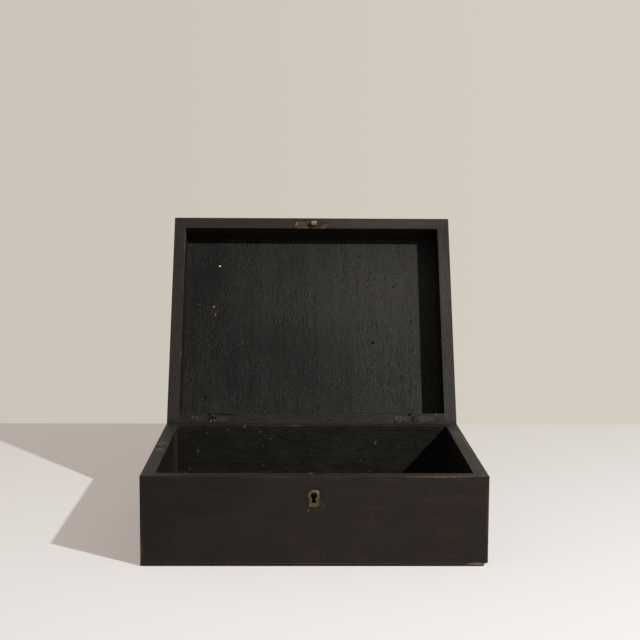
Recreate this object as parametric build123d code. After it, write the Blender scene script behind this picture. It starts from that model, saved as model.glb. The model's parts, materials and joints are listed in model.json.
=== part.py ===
"""Painted wooden deed box, standing with its lid open.

A low rectangular box of thin boards, lapped and nailed at the corners, with a
thin bottom board nailed on underneath and a shallow lid of the same build.
Two brass butt hinges are let into the rear rims.  The rear arrises of box and
lid are planed to a bevel of half the opening angle each, so the two bevels
meet and hold the lid open a little past upright, with no stay.  A brass box
lock is let into the front board: a key slides its bolt sideways through the
staple of the link plate in the lid's front rim.

Frame: millimetres, origin at the centre of the underside, +X to the right
along the front, +Y to the back, +Z up.  Every piece is first drawn with the
lid shut; the lid's pieces are then turned open about the hinge pins.
"""
import os

from build123d import *

# --- Driving dimensions: boards ---------------------------------------------------------------
BOX_LENGTH = 330.0
BOX_DEPTH = 258.0
WALL_THICKNESS = 13.5
WALL_HEIGHT = 84.0
BOTTOM_THICKNESS = 3.0
LID_RAIL_HEIGHT = 34.0
LID_PANEL_THICKNESS = 8.5
LAP_THICKNESS = 6.0          # what is left of a long board in front of an end board
RIM_GAP = 0.4                # between box and lid rims when shut
CORNER_ROUNDING = 0.8
LID_TOP_ROUNDING = 2.5
CHIP_LENGTH = 26.0           # splinter lost from the bottom board's right front corner
CHIP_WIDTH = 4.2

# --- Driving dimensions: lid motion and hinges ------------------------------------------------
OPENING_ANGLE = 117.0
STOP_GAP = 0.16              # left between the two bevels when the lid is open
HINGE_INSET = 1.3            # pin axis in from the rear face
HINGE_LENGTH = 51.0
LEFT_HINGE_SETBACK = 53.0    # middle of the hinge, from the box's end
RIGHT_HINGE_SETBACK = 45.0
LEAF_WIDTH = 9.2             # from the pin axis to the leaf's inner edge
LEAF_THICKNESS = 1.4
KNUCKLE_COUNT = 5
KNUCKLE_RADIUS = 2.2
KNUCKLE_GAP = 0.3
PIN_RADIUS = 1.1
PIN_RUNNING_FIT = 0.05
BARREL_CLEARANCE = 0.35      # around the knuckles, in the wood and in the other leaf
LEAF_FIT = 0.15              # around a leaf in its mortise
HINGE_SCREW_SPREAD = 21.5    # outer screws, from the leaf's middle
HINGE_SCREW_SETBACK = 5.6    # screws, from the pin axis

# --- Driving dimensions: screws and nails -----------------------------------------------------
SCREW_HEAD_RADIUS = 2.1
SCREW_HEAD_DEPTH = 1.0
SCREW_SHANK_RADIUS = 1.1
SCREW_LENGTH = 10.0
SCREW_SIDE_COUNT = 12        # flats drawn round each screw and its hole
SCREW_FIT = 0.06
NAIL_HEAD_WIDTH = 3.4
NAIL_HEAD_DEPTH = 0.8
NAIL_SHANK_WIDTH = 1.6
NAIL_TIP_WIDTH = 0.7
NAIL_FIT = 0.05
NAIL_BITE = 12.0             # how far a nail enters the second board
NAIL_END_MARGIN = 44.0       # outermost bottom and lid nails, from the outside corner
LONG_SIDE_NAIL_COUNT = 4
SHORT_SIDE_NAIL_COUNT = 2
BOX_CORNER_NAIL_COUNT = 3
BOX_CORNER_NAIL_MARGIN = 16.0  # outermost corner nails, from the wall's upper and lower edges
LID_CORNER_NAIL_COUNT = 2
LID_CORNER_NAIL_MARGIN = 9.0

# --- Driving dimensions: lock -----------------------------------------------------------------
LOCK_OFFSET = -0.8           # lock, keyhole and link plate, from the box's middle
LOCK_PLATE_THICKNESS = 1.5
LOCK_PLATE_EAR = 6.8         # plate beyond the cap at each end, for the screws
LOCK_PLATE_FOOT = 2.7        # plate below the cap
LOCK_PLATE_CORNER = 2.0
LOCK_CAP_DEPTH = 7.0
LOCK_CAP_SHEET = 1.0
LOCK_CAP_ROUNDING = 0.6
LOCK_FIT = 0.2               # around the lock in its mortise
LOCK_SCREW_LENGTH = 6.5
KEY_DROP = 18.6              # key centre below the rim
KEY_BIT_REACH = 6.8
KEY_BIT_ENGAGEMENT = 1.4     # how far the bit enters the bolt's talon
KEY_BIT_CLEARANCE = 0.3
DRILL_PIN_RADIUS = 0.9
DRILL_PIN_SETBACK = 3.0      # pin end behind the front face
BOLT_TRAVEL = 7.6
BOLT_THICKNESS = 1.8
BOLT_NOSE_HEIGHT = 3.6
BOLT_WEB = 1.2               # metal left at the ends of the bolt's slots
BOLT_CLEARANCE = 0.5         # between bolt and staple, selvedge or case
TALON_WIDTH = 4.8
TALON_WEB = 0.6              # metal between the talon and each slot
STUD_RADIUS = 0.8
STUD_CLEARANCE = 0.2         # around a stud in its slot
SPRING_THICKNESS = 0.4
SPRING_WIDTH = 2.4
SPRING_FOLD_RADIUS = 0.9
SPRING_CLEARANCE = 0.25

# --- Driving dimensions: link plate and keyhole -----------------------------------------------
LINK_LENGTH = 38.0
LINK_WIDTH = 8.4
LINK_THICKNESS = 1.5
LINK_FIT = 0.3               # gap at the ends of the link plate's recess
STAPLE_OFFSET = 3.6          # staple, to the right of the keyhole
STAPLE_WIDTH = 6.5
STAPLE_DEPTH = 4.6
STAPLE_STRAP = 1.0           # thickness of the bent strap
STAPLE_REACH = 7.8           # below the lid's rim
STAPLE_BEND = 1.5
STAPLE_SLOT_CLEARANCE = 0.4
LINK_SCREW_SPREAD = 12.2     # each side of the staple
KEYHOLE_HEAD_RADIUS = 2.85
KEYHOLE_WAIST = 1.8
KEYHOLE_FOOT = 4.6
ESCUTCHEON_HEAD_RADIUS = 5.85
ESCUTCHEON_WAIST = 9.0
ESCUTCHEON_FOOT = 10.4
ESCUTCHEON_DROP = 11.2
ESCUTCHEON_DEPTH = 2.5
ESCUTCHEON_PROUD = 0.6
ESCUTCHEON_BEVEL = 0.45
ESCUTCHEON_FIT = 0.04

# --- Places worked out from the sizes ---------------------------------------------------------
SIDE = BOX_LENGTH / 2
FRONT = -BOX_DEPTH / 2
BACK = BOX_DEPTH / 2
RIM_Z = BOTTOM_THICKNESS + WALL_HEIGHT
LID_RIM_Z = RIM_Z + RIM_GAP
LID_PANEL_Z = LID_RIM_Z + LID_RAIL_HEIGHT
LID_TOP_Z = LID_PANEL_Z + LID_PANEL_THICKNESS
AXIS_Y = BACK - HINGE_INSET
AXIS_Z = RIM_Z + RIM_GAP / 2
HINGE_AXIS = Axis((0, AXIS_Y, AXIS_Z), (1, 0, 0))
HINGE_CENTRES = {"left": LEFT_HINGE_SETBACK - SIDE, "right": SIDE - RIGHT_HINGE_SETBACK}
WALL_MIDDLE = WALL_THICKNESS / 2
CUT_MARGIN = 1.0             # how far cutters run past the faces they open

# Depth into the lock runs forwards from the lock plate's hidden face, and drop
# runs down from the box's rim.
LOCK_FACE_Y = FRONT + WALL_THICKNESS - LOCK_PLATE_THICKNESS
CAP_INSIDE_DEPTH = LOCK_CAP_DEPTH - LOCK_CAP_SHEET
BOLT_MIDDLE_DEPTH = CAP_INSIDE_DEPTH / 2
NOSE_TOP = LOCK_PLATE_THICKNESS + BOLT_CLEARANCE
NOSE_BOTTOM = NOSE_TOP + BOLT_NOSE_HEIGHT
STAPLE_TIP_DROP = STAPLE_REACH - RIM_GAP
BAR_TOP = STAPLE_TIP_DROP + BOLT_CLEARANCE
BAR_BOTTOM = KEY_DROP - KEY_BIT_REACH + KEY_BIT_ENGAGEMENT
TALON_TOP = KEY_DROP - KEY_BIT_REACH - KEY_BIT_CLEARANCE
STUD_SLOT_HEIGHT = 2 * (STUD_RADIUS + STUD_CLEARANCE)
STUD_SLOT_LENGTH = BOLT_TRAVEL + STUD_SLOT_HEIGHT
STUD_DROP = BAR_TOP + BOLT_WEB + STUD_SLOT_HEIGHT / 2
TALON_X = -BOLT_TRAVEL / 2
SLOT_REACH = TALON_WIDTH / 2 + TALON_WEB + STUD_SLOT_LENGTH / 2
BAR_REACH = SLOT_REACH + STUD_SLOT_LENGTH / 2 + BOLT_WEB
NOSE_TIP_X = STAPLE_OFFSET - STAPLE_WIDTH / 2 - BOLT_CLEARANCE
NOSE_ROOT_X = NOSE_TIP_X - BOLT_TRAVEL
CAP_HALF_LENGTH = BOLT_TRAVEL / 2 + BAR_REACH + BOLT_CLEARANCE + LOCK_CAP_SHEET
CAP_FOOT_DROP = KEY_DROP + KEY_BIT_REACH + BOLT_CLEARANCE + LOCK_CAP_SHEET
LOCK_HALF_LENGTH = CAP_HALF_LENGTH + LOCK_PLATE_EAR
LOCK_FOOT_DROP = CAP_FOOT_DROP + LOCK_PLATE_FOOT
KEY_Z = RIM_Z - KEY_DROP


# --- Shared shapes ----------------------------------------------------------------------------
def block(x, y, z):
    """Box between two limits, in either order, along each axis."""
    limits = [sorted(pair) for pair in (x, y, z)]
    sizes = [high - low for low, high in limits]
    middle = [(high + low) / 2 for low, high in limits]
    return Pos(*middle) * Box(*sizes)


def rod_x(radius, x, y, z):
    """Round rod along X between two limits."""
    return Pos((x[0] + x[1]) / 2, y, z) * Rot(0, 90, 0) * Cylinder(radius, x[1] - x[0])


def spread(count, reach):
    """Evenly spaced places from -reach to +reach."""
    return [reach * (2 * index / (count - 1) - 1) for index in range(count)]


def lock_block(x, depth, drop):
    """Box in the lock's own terms: along the front from the keyhole, forwards and down."""
    x = [LOCK_OFFSET + value for value in x]
    y = [LOCK_FACE_Y - value for value in depth]
    z = [RIM_Z - value for value in drop]
    return block(x, y, z)


def lock_plate_shape(outline, depth, thickness):
    """Flat outline drawn in X and drop, made solid forwards from a depth."""
    plane = Plane(origin=(LOCK_OFFSET, LOCK_FACE_Y - depth, RIM_Z), x_dir=(1, 0, 0),
                  z_dir=(0, -1, 0))
    return extrude(plane * outline, thickness)


def lock_rod(radius, x, drop, depth):
    """Round rod along the key's direction, between two depths."""
    middle = Pos(LOCK_OFFSET + x, LOCK_FACE_Y - (depth[0] + depth[1]) / 2, RIM_Z - drop)
    return middle * Rot(90, 0, 0) * Cylinder(radius, depth[1] - depth[0])


def flat_sided(radius):
    """Outline that stands for a circle on the fasteners, which repeat many times."""
    return RegularPolygon(radius, SCREW_SIDE_COUNT)


def tapered(*outlines):
    """Solid with flat sides from one straight-sided outline to another."""
    return ConvexPolyhedron([corner.center() for outline in outlines
                             for corner in outline.vertices()])


def screw(length, fit=0.0):
    """Countersunk wood screw along -Z with its head's face at the origin, or its hole."""
    face = flat_sided(SCREW_HEAD_RADIUS + fit)
    neck = Plane.XY.offset(-SCREW_HEAD_DEPTH) * flat_sided(SCREW_SHANK_RADIUS + fit)
    return tapered(face, neck) + extrude(neck, SCREW_HEAD_DEPTH - length - fit)


def nail(length, fit=0.0):
    """Square cut nail along -Z with its head's face at the origin, or its hole."""
    head = block(*2 * [(-NAIL_HEAD_WIDTH / 2 - fit, NAIL_HEAD_WIDTH / 2 + fit)],
                 (-NAIL_HEAD_DEPTH, 0))
    root = Plane.XY.offset(-NAIL_HEAD_DEPTH) * Rectangle(*2 * [NAIL_SHANK_WIDTH + 2 * fit])
    tip = Plane.XY.offset(-length - fit) * Rectangle(*2 * [NAIL_TIP_WIDTH + 2 * fit])
    return head + tapered(root, tip)


def with_holes(board, places, fastener, length, fit):
    """Board with a hole cut at each place for a fastener of the given length."""
    for place in places:
        board -= place * fastener(length, fit)
    return board


def group(places, fastener, length):
    """All of one kind of fastener, as separate solids in one node."""
    return Compound(children=[place * fastener(length) for place in places])


def opened(piece):
    """A piece of the lid, turned from shut to open about the hinge pins."""
    return piece.rotate(HINGE_AXIS, -OPENING_ANGLE)


# --- Places of the fasteners ------------------------------------------------------------------
def edge_nail_places(face_z, turn):
    """Nails driven into the walls round all four sides from a horizontal face."""
    long_reach, short_reach = SIDE - NAIL_END_MARGIN, BACK - NAIL_END_MARGIN
    spots = [(x, y) for x in spread(LONG_SIDE_NAIL_COUNT, long_reach)
             for y in (FRONT + WALL_MIDDLE, BACK - WALL_MIDDLE)]
    spots += [(x, y) for y in spread(SHORT_SIDE_NAIL_COUNT, short_reach)
              for x in (WALL_MIDDLE - SIDE, SIDE - WALL_MIDDLE)]
    return [Pos(x, y, face_z) * turn for x, y in spots]


def corner_nail_places(foot, height, count, margin):
    """Nails driven through the end boards into the shoulders of the long boards' rebates."""
    sides = [(-SIDE, Rot(0, -90, 0)), (SIDE, Rot(0, 90, 0))]
    setback = (LAP_THICKNESS + WALL_THICKNESS) / 2
    return [Pos(x, y, foot + height / 2 + z) * turn for x, turn in sides
            for z in spread(count, height / 2 - margin)
            for y in (FRONT + setback, BACK - setback)]


BOTTOM_NAIL_LENGTH = BOTTOM_THICKNESS + NAIL_BITE
LID_NAIL_LENGTH = LID_PANEL_THICKNESS + NAIL_BITE
CORNER_NAIL_LENGTH = WALL_THICKNESS + NAIL_BITE
BOTTOM_NAILS = edge_nail_places(0, Rot(180, 0, 0))
LID_TOP_NAILS = edge_nail_places(LID_TOP_Z, Rot(0, 0, 0))
BOX_CORNERS = corner_nail_places(BOTTOM_THICKNESS, WALL_HEIGHT, BOX_CORNER_NAIL_COUNT,
                                 BOX_CORNER_NAIL_MARGIN)
LID_CORNERS = corner_nail_places(LID_RIM_Z, LID_RAIL_HEIGHT, LID_CORNER_NAIL_COUNT,
                                 LID_CORNER_NAIL_MARGIN)

HINGE_SCREW_SPOTS = [(centre + along, AXIS_Y - HINGE_SCREW_SETBACK)
                     for centre in HINGE_CENTRES.values()
                     for along in (-HINGE_SCREW_SPREAD, 0, HINGE_SCREW_SPREAD)]
BOX_HINGE_SCREWS = [Pos(x, y, RIM_Z) for x, y in HINGE_SCREW_SPOTS]
LID_HINGE_SCREWS = [Pos(x, y, LID_RIM_Z) * Rot(180, 0, 0) for x, y in HINGE_SCREW_SPOTS]
LINK_MIDDLE_Y = FRONT + WALL_THICKNESS - LINK_WIDTH / 2
STAPLE_X = LOCK_OFFSET + STAPLE_OFFSET
LINK_SCREWS = [Pos(STAPLE_X + side * LINK_SCREW_SPREAD, LINK_MIDDLE_Y, LID_RIM_Z)
               * Rot(180, 0, 0) for side in (-1, 1)]
LOCK_SCREW_SPREAD = LOCK_HALF_LENGTH - LOCK_PLATE_EAR / 2
LOCK_SCREWS = [Pos(LOCK_OFFSET + side * LOCK_SCREW_SPREAD, FRONT + WALL_THICKNESS,
                   RIM_Z - drop) * Rot(-90, 0, 0)
               for side in (-1, 1)
               for drop in (LOCK_PLATE_EAR + LOCK_PLATE_THICKNESS, LOCK_FOOT_DROP - LOCK_PLATE_EAR)]


# --- Cutters that shape the rear edges and seat the hinges ------------------------------------
def stop_bevel(upward):
    """Wedge planed off a rear arris: upward is 1 for the box and -1 for the lid."""
    wedge = block((-SIDE - CUT_MARGIN, SIDE + CUT_MARGIN), (0, WALL_THICKNESS),
                  (-upward * STOP_GAP / 2, upward * WALL_THICKNESS))
    return Pos(0, AXIS_Y, AXIS_Z) * Rot(-upward * OPENING_ANGLE / 2, 0, 0) * wedge


def hinge_seats(rim, into_wood):
    """Leaf mortises and barrel channels of both hinges in one rear rim."""
    cutters = []
    for centre in HINGE_CENTRES.values():
        reach = HINGE_LENGTH / 2 + LEAF_FIT
        x = (centre - reach, centre + reach)
        cutters.append(block(x, (AXIS_Y - LEAF_WIDTH - LEAF_FIT, BACK),
                             (rim, rim + into_wood * LEAF_THICKNESS)))
        cutters.append(rod_x(KNUCKLE_RADIUS + BARREL_CLEARANCE, x, AXIS_Y, AXIS_Z))
    return cutters


# --- Boards -----------------------------------------------------------------------------------
def long_board(outside, inward, z):
    """Front or back board, full length, rebated at both ends to lap the end boards."""
    inside = outside + inward * WALL_THICKNESS
    board = block((-SIDE, SIDE), (outside, inside), z)
    outer_corners = board.edges().filter_by(Axis.Z).group_by(Axis.Y)[0 if inward > 0 else -1]
    board = fillet(outer_corners, CORNER_ROUNDING)
    for side in (-1, 1):
        board -= block((side * SIDE, side * (SIDE - WALL_THICKNESS)),
                       (outside + inward * LAP_THICKNESS, inside), z)
    return board


def end_board(side, z):
    """End board, set between the laps of the long boards."""
    return block((side * SIDE, side * (SIDE - WALL_THICKNESS)),
                 (FRONT + LAP_THICKNESS, BACK - LAP_THICKNESS), z)


def box_front():
    """Front board with the lock's mortise, the keyhole and the escutcheon's seat."""
    board = long_board(FRONT, 1, (BOTTOM_THICKNESS, RIM_Z))
    half, cap_half = LOCK_HALF_LENGTH + LOCK_FIT, CAP_HALF_LENGTH + LOCK_FIT
    plate_back = -LOCK_PLATE_THICKNESS
    board -= lock_block((-half, half), (plate_back, 0), (0, LOCK_FOOT_DROP + LOCK_FIT))
    board -= lock_block((-half, half), (plate_back, LINK_WIDTH + plate_back + LOCK_FIT),
                        (0, LOCK_PLATE_THICKNESS))
    board -= lock_block((-cap_half, cap_half), (plate_back, LOCK_CAP_DEPTH + LOCK_FIT),
                        (0, CAP_FOOT_DROP + LOCK_FIT))
    board -= key_opening(FRONT - CUT_MARGIN, WALL_THICKNESS)
    board -= escutcheon_body(ESCUTCHEON_FIT)
    return board


def box_back():
    """Back board with the stop bevel and the hinges' seats."""
    board = long_board(BACK, -1, (BOTTOM_THICKNESS, RIM_Z)) - stop_bevel(1)
    for cutter in hinge_seats(RIM_Z, -1):
        board -= cutter
    return board


def box_bottom():
    """Bottom board, short of a splinter at its right front corner."""
    board = block((-SIDE, SIDE), (FRONT, BACK), (0, BOTTOM_THICKNESS))
    chip = make_face(Polyline((SIDE - CHIP_WIDTH, FRONT - CUT_MARGIN), (SIDE, FRONT + CHIP_LENGTH),
                              (SIDE + CUT_MARGIN, FRONT + CHIP_LENGTH),
                              (SIDE + CUT_MARGIN, FRONT - CUT_MARGIN),
                              (SIDE - CHIP_WIDTH, FRONT - CUT_MARGIN)))
    return board - extrude(chip, BOTTOM_THICKNESS)


def lid_front_rail():
    """Front rail of the lid with the link plate's recess."""
    rail = long_board(FRONT, 1, (LID_RIM_Z, LID_PANEL_Z))
    half = LINK_LENGTH / 2 + LINK_FIT
    inside = FRONT + WALL_THICKNESS
    return rail - block((LOCK_OFFSET - half, LOCK_OFFSET + half), (inside - LINK_WIDTH, inside),
                        (LID_RIM_Z, LID_RIM_Z + LINK_THICKNESS))


def lid_back_rail():
    """Back rail of the lid with the stop bevel and the hinges' seats."""
    rail = long_board(BACK, -1, (LID_RIM_Z, LID_PANEL_Z)) - stop_bevel(-1)
    for cutter in hinge_seats(LID_RIM_Z, 1):
        rail -= cutter
    return rail


def lid_top_panel():
    """Top board of the lid, nailed on the rails, its upper arrises rounded."""
    panel = block((-SIDE, SIDE), (FRONT, BACK), (LID_PANEL_Z, LID_TOP_Z))
    return fillet(panel.faces().sort_by(Axis.Z)[-1].edges(), LID_TOP_ROUNDING)


# --- Hinges -----------------------------------------------------------------------------------
def hinge_leaf(centre, rim, into_wood, first_knuckle):
    """One leaf, drawn shut, with every second knuckle from first_knuckle on."""
    whole = (centre - HINGE_LENGTH / 2, centre + HINGE_LENGTH / 2)
    z = (rim, rim + into_wood * LEAF_THICKNESS)
    leaf = block(whole, (AXIS_Y - LEAF_WIDTH, AXIS_Y), z)
    leaf -= rod_x(KNUCKLE_RADIUS + BARREL_CLEARANCE, whole, AXIS_Y, AXIS_Z)
    pitch = HINGE_LENGTH / KNUCKLE_COUNT
    for index in range(first_knuckle, KNUCKLE_COUNT, 2):
        start = whole[0] + index * pitch + KNUCKLE_GAP / 2
        x = (start, start + pitch - KNUCKLE_GAP)
        leaf += block(x, (AXIS_Y - KNUCKLE_RADIUS - 2 * BARREL_CLEARANCE, AXIS_Y), z)
        leaf += rod_x(KNUCKLE_RADIUS, x, AXIS_Y, AXIS_Z)
    return leaf - rod_x(PIN_RADIUS + PIN_RUNNING_FIT, whole, AXIS_Y, AXIS_Z)


def hinge_pin(centre):
    """Pin of one hinge, as long as the hinge."""
    return rod_x(PIN_RADIUS, (centre - HINGE_LENGTH / 2, centre + HINGE_LENGTH / 2),
                 AXIS_Y, AXIS_Z)


# --- Lock -------------------------------------------------------------------------------------
def keyhole_outline(head_radius, waist, foot, drop):
    """Round head over a skirt that widens downwards, centred on the head."""
    skirt = make_face(Polyline((-waist / 2, 0), (-foot / 2, -drop), (foot / 2, -drop),
                               (waist / 2, 0), (-waist / 2, 0)))
    return Circle(head_radius) + skirt


def key_prism(outline, start_y, length):
    """Outline round the key's centre, made solid backwards from start_y."""
    plane = Plane(origin=(LOCK_OFFSET, start_y, KEY_Z), x_dir=(1, 0, 0), z_dir=(0, -1, 0))
    return extrude(plane * outline, -length)


def key_opening(start_y, length):
    """Keyhole cutter."""
    outline = keyhole_outline(KEYHOLE_HEAD_RADIUS, KEYHOLE_WAIST, KEYHOLE_FOOT, KEY_BIT_REACH)
    return key_prism(outline, start_y, length)


def escutcheon_body(fit=0.0):
    """Solid outer form of the escutcheon, or its seat in the wood."""
    outline = keyhole_outline(ESCUTCHEON_HEAD_RADIUS + fit, ESCUTCHEON_WAIST + 2 * fit,
                              ESCUTCHEON_FOOT + 2 * fit, ESCUTCHEON_DROP + fit)
    return key_prism(outline, FRONT - ESCUTCHEON_PROUD, ESCUTCHEON_PROUD + ESCUTCHEON_DEPTH)


def keyhole_escutcheon():
    """Brass thread escutcheon, inlaid and standing slightly proud with a bevelled edge."""
    body = escutcheon_body()
    body = chamfer(body.faces().sort_by(Axis.Y)[0].edges(), ESCUTCHEON_BEVEL)
    return body - key_opening(FRONT - ESCUTCHEON_PROUD - CUT_MARGIN, WALL_THICKNESS)


def stud_places():
    """Where the two guide studs stand: at the right end of each slot with the bolt back."""
    shift = STUD_SLOT_LENGTH / 2 - STUD_SLOT_HEIGHT / 2
    return [TALON_X + side * SLOT_REACH + shift for side in (-1, 1)]


def lock_backplate():
    """Lock plate with its selvedge, let in flush with the front board's inside and rim."""
    half = LOCK_HALF_LENGTH
    plate_back = -LOCK_PLATE_THICKNESS
    plate = lock_block((-half, half), (plate_back, 0), (0, LOCK_FOOT_DROP))
    feet = plate.edges().filter_by(Axis.Y).group_by(Axis.Z)[0]
    plate = fillet(feet, LOCK_PLATE_CORNER)
    plate += lock_block((-half, half), (plate_back, LINK_WIDTH + plate_back),
                        (0, LOCK_PLATE_THICKNESS))
    slot_half = STAPLE_WIDTH / 2 + STAPLE_SLOT_CLEARANCE
    slot_depth = STAPLE_DEPTH / 2 + STAPLE_SLOT_CLEARANCE
    plate -= lock_block((STAPLE_OFFSET - slot_half, STAPLE_OFFSET + slot_half),
                        (BOLT_MIDDLE_DEPTH - slot_depth, BOLT_MIDDLE_DEPTH + slot_depth),
                        (0, LOCK_PLATE_THICKNESS))
    return plate


def lock_cap():
    """Sheet cap over the works, open at the back and under the selvedge."""
    half = CAP_HALF_LENGTH
    cap = lock_block((-half, half), (0, LOCK_CAP_DEPTH), (LOCK_PLATE_THICKNESS, CAP_FOOT_DROP))
    cap = fillet(cap.faces().sort_by(Axis.Y)[0].edges().filter_by(Axis.Z), LOCK_CAP_ROUNDING)
    inside = half - LOCK_CAP_SHEET
    cap -= lock_block((-inside, inside), (0, CAP_INSIDE_DEPTH),
                      (LOCK_PLATE_THICKNESS, CAP_FOOT_DROP - LOCK_CAP_SHEET))
    return cap - key_opening(FRONT, WALL_THICKNESS)


def lock_drill_pin():
    """Pin that the key's barrel turns on, standing on the lock plate."""
    length = WALL_THICKNESS - LOCK_PLATE_THICKNESS - DRILL_PIN_SETBACK
    return lock_rod(DRILL_PIN_RADIUS, 0, KEY_DROP, (0, length))


def lock_guide_studs():
    """Two studs between lock plate and cap that carry the bolt by its slots."""
    return Compound(children=[lock_rod(STUD_RADIUS, x, STUD_DROP, (0, CAP_INSIDE_DEPTH))
                              for x in stud_places()])


def lock_bolt():
    """Sliding bolt, drawn back: slotted bar with the key's talon, and a hooked nose."""
    def part(x, drop):
        return Pos((x[0] + x[1]) / 2, -(drop[0] + drop[1]) / 2) * Rectangle(
            abs(x[1] - x[0]), abs(drop[1] - drop[0]))

    bar_left = TALON_X - BAR_REACH
    outline = part((bar_left, TALON_X + BAR_REACH), (BAR_TOP, BAR_BOTTOM))
    outline += part((bar_left, NOSE_ROOT_X), (NOSE_TOP, BAR_BOTTOM))
    outline += part((bar_left, NOSE_TIP_X), (NOSE_TOP, NOSE_BOTTOM))
    outline -= part((TALON_X - TALON_WIDTH / 2, TALON_X + TALON_WIDTH / 2),
                    (TALON_TOP, BAR_BOTTOM))
    for side in (-1, 1):
        place = Pos(TALON_X + side * SLOT_REACH, -STUD_DROP)
        outline -= place * SlotOverall(STUD_SLOT_LENGTH, STUD_SLOT_HEIGHT)
    return lock_plate_shape(outline, BOLT_MIDDLE_DEPTH - BOLT_THICKNESS / 2, BOLT_THICKNESS)


def lock_spring():
    """Folded leaf spring: one arm under the selvedge, the other down on the bolt's bar."""
    right = CAP_HALF_LENGTH - LOCK_CAP_SHEET - SPRING_CLEARANCE - SPRING_THICKNESS
    left = NOSE_TIP_X + BOLT_TRAVEL + BOLT_CLEARANCE + SPRING_THICKNESS
    top = LOCK_PLATE_THICKNESS + SPRING_THICKNESS / 2
    foot = BAR_TOP - SPRING_CLEARANCE - SPRING_THICKNESS
    path = FilletPolyline((right, -top), (left, -top), (right, -foot), radius=SPRING_FOLD_RADIUS)
    strip = trace(path, SPRING_THICKNESS)
    return lock_plate_shape(strip, BOLT_MIDDLE_DEPTH - SPRING_WIDTH / 2, SPRING_WIDTH)


# --- Link plate -------------------------------------------------------------------------------
def link_staple():
    """Strap bent to a U, standing below the lid's rim and riveted through the link plate."""
    middle = Pos(LOCK_FACE_Y - BOLT_MIDDLE_DEPTH, (LID_RIM_Z + LINK_THICKNESS + LID_RIM_Z
                                                   - STAPLE_REACH) / 2)
    height = STAPLE_REACH + LINK_THICKNESS
    outside = middle * Rectangle(STAPLE_DEPTH, height)
    outside = fillet(outside.vertices().group_by(Axis.Y)[0], STAPLE_BEND)
    inside = Pos(0, STAPLE_STRAP) * middle * Rectangle(STAPLE_DEPTH - 2 * STAPLE_STRAP, height)
    inside = fillet(inside.vertices().group_by(Axis.Y)[0], STAPLE_BEND - STAPLE_STRAP)
    side_plane = Plane(origin=(STAPLE_X - STAPLE_WIDTH / 2, 0, 0), x_dir=(0, 1, 0),
                       z_dir=(1, 0, 0))
    return extrude(side_plane * (outside - inside), STAPLE_WIDTH)


def link_plate():
    """Brass plate in the lid's front rim that holds the staple."""
    half = LINK_LENGTH / 2
    inside = FRONT + WALL_THICKNESS
    plate = block((LOCK_OFFSET - half, LOCK_OFFSET + half), (inside - LINK_WIDTH, inside),
                  (LID_RIM_Z, LID_RIM_Z + LINK_THICKNESS))
    return plate - link_staple()


# --- The pieces, each a node of its own -------------------------------------------------------
def box_pieces():
    """Carcass, lock and the box's halves of the hinges."""
    walls = (BOTTOM_THICKNESS, RIM_Z)
    front = with_holes(box_front(), LOCK_SCREWS, screw, LOCK_SCREW_LENGTH, SCREW_FIT)
    back = with_holes(box_back(), BOX_HINGE_SCREWS, screw, SCREW_LENGTH, SCREW_FIT)
    boards = {"box_front": front, "box_back": back, "box_left_end": end_board(-1, walls),
              "box_right_end": end_board(1, walls)}
    pieces = {}
    for name, board in boards.items():
        board = with_holes(board, BOX_CORNERS, nail, CORNER_NAIL_LENGTH, NAIL_FIT)
        pieces[name] = with_holes(board, BOTTOM_NAILS, nail, BOTTOM_NAIL_LENGTH, NAIL_FIT)
    pieces["box_bottom"] = with_holes(box_bottom(), BOTTOM_NAILS, nail, BOTTOM_NAIL_LENGTH,
                                      NAIL_FIT)
    pieces["box_corner_nails"] = group(BOX_CORNERS, nail, CORNER_NAIL_LENGTH)
    pieces["box_bottom_nails"] = group(BOTTOM_NAILS, nail, BOTTOM_NAIL_LENGTH)
    pieces["keyhole_escutcheon"] = keyhole_escutcheon()
    pieces["lock_backplate"] = with_holes(lock_backplate(), LOCK_SCREWS, screw,
                                          LOCK_SCREW_LENGTH, SCREW_FIT)
    pieces["lock_cap"] = lock_cap()
    pieces["lock_drill_pin"] = lock_drill_pin()
    pieces["lock_guide_studs"] = lock_guide_studs()
    pieces["lock_spring"] = lock_spring()
    pieces["lock_bolt"] = lock_bolt()
    pieces["lock_screws"] = group(LOCK_SCREWS, screw, LOCK_SCREW_LENGTH)
    for side, centre in HINGE_CENTRES.items():
        leaf = hinge_leaf(centre, RIM_Z, -1, 0)
        pieces[f"{side}_hinge_box_leaf"] = with_holes(leaf, BOX_HINGE_SCREWS, screw,
                                                      SCREW_LENGTH, SCREW_FIT)
        pieces[f"{side}_hinge_pin"] = hinge_pin(centre)
    pieces["box_hinge_screws"] = group(BOX_HINGE_SCREWS, screw, SCREW_LENGTH)
    return pieces


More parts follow.
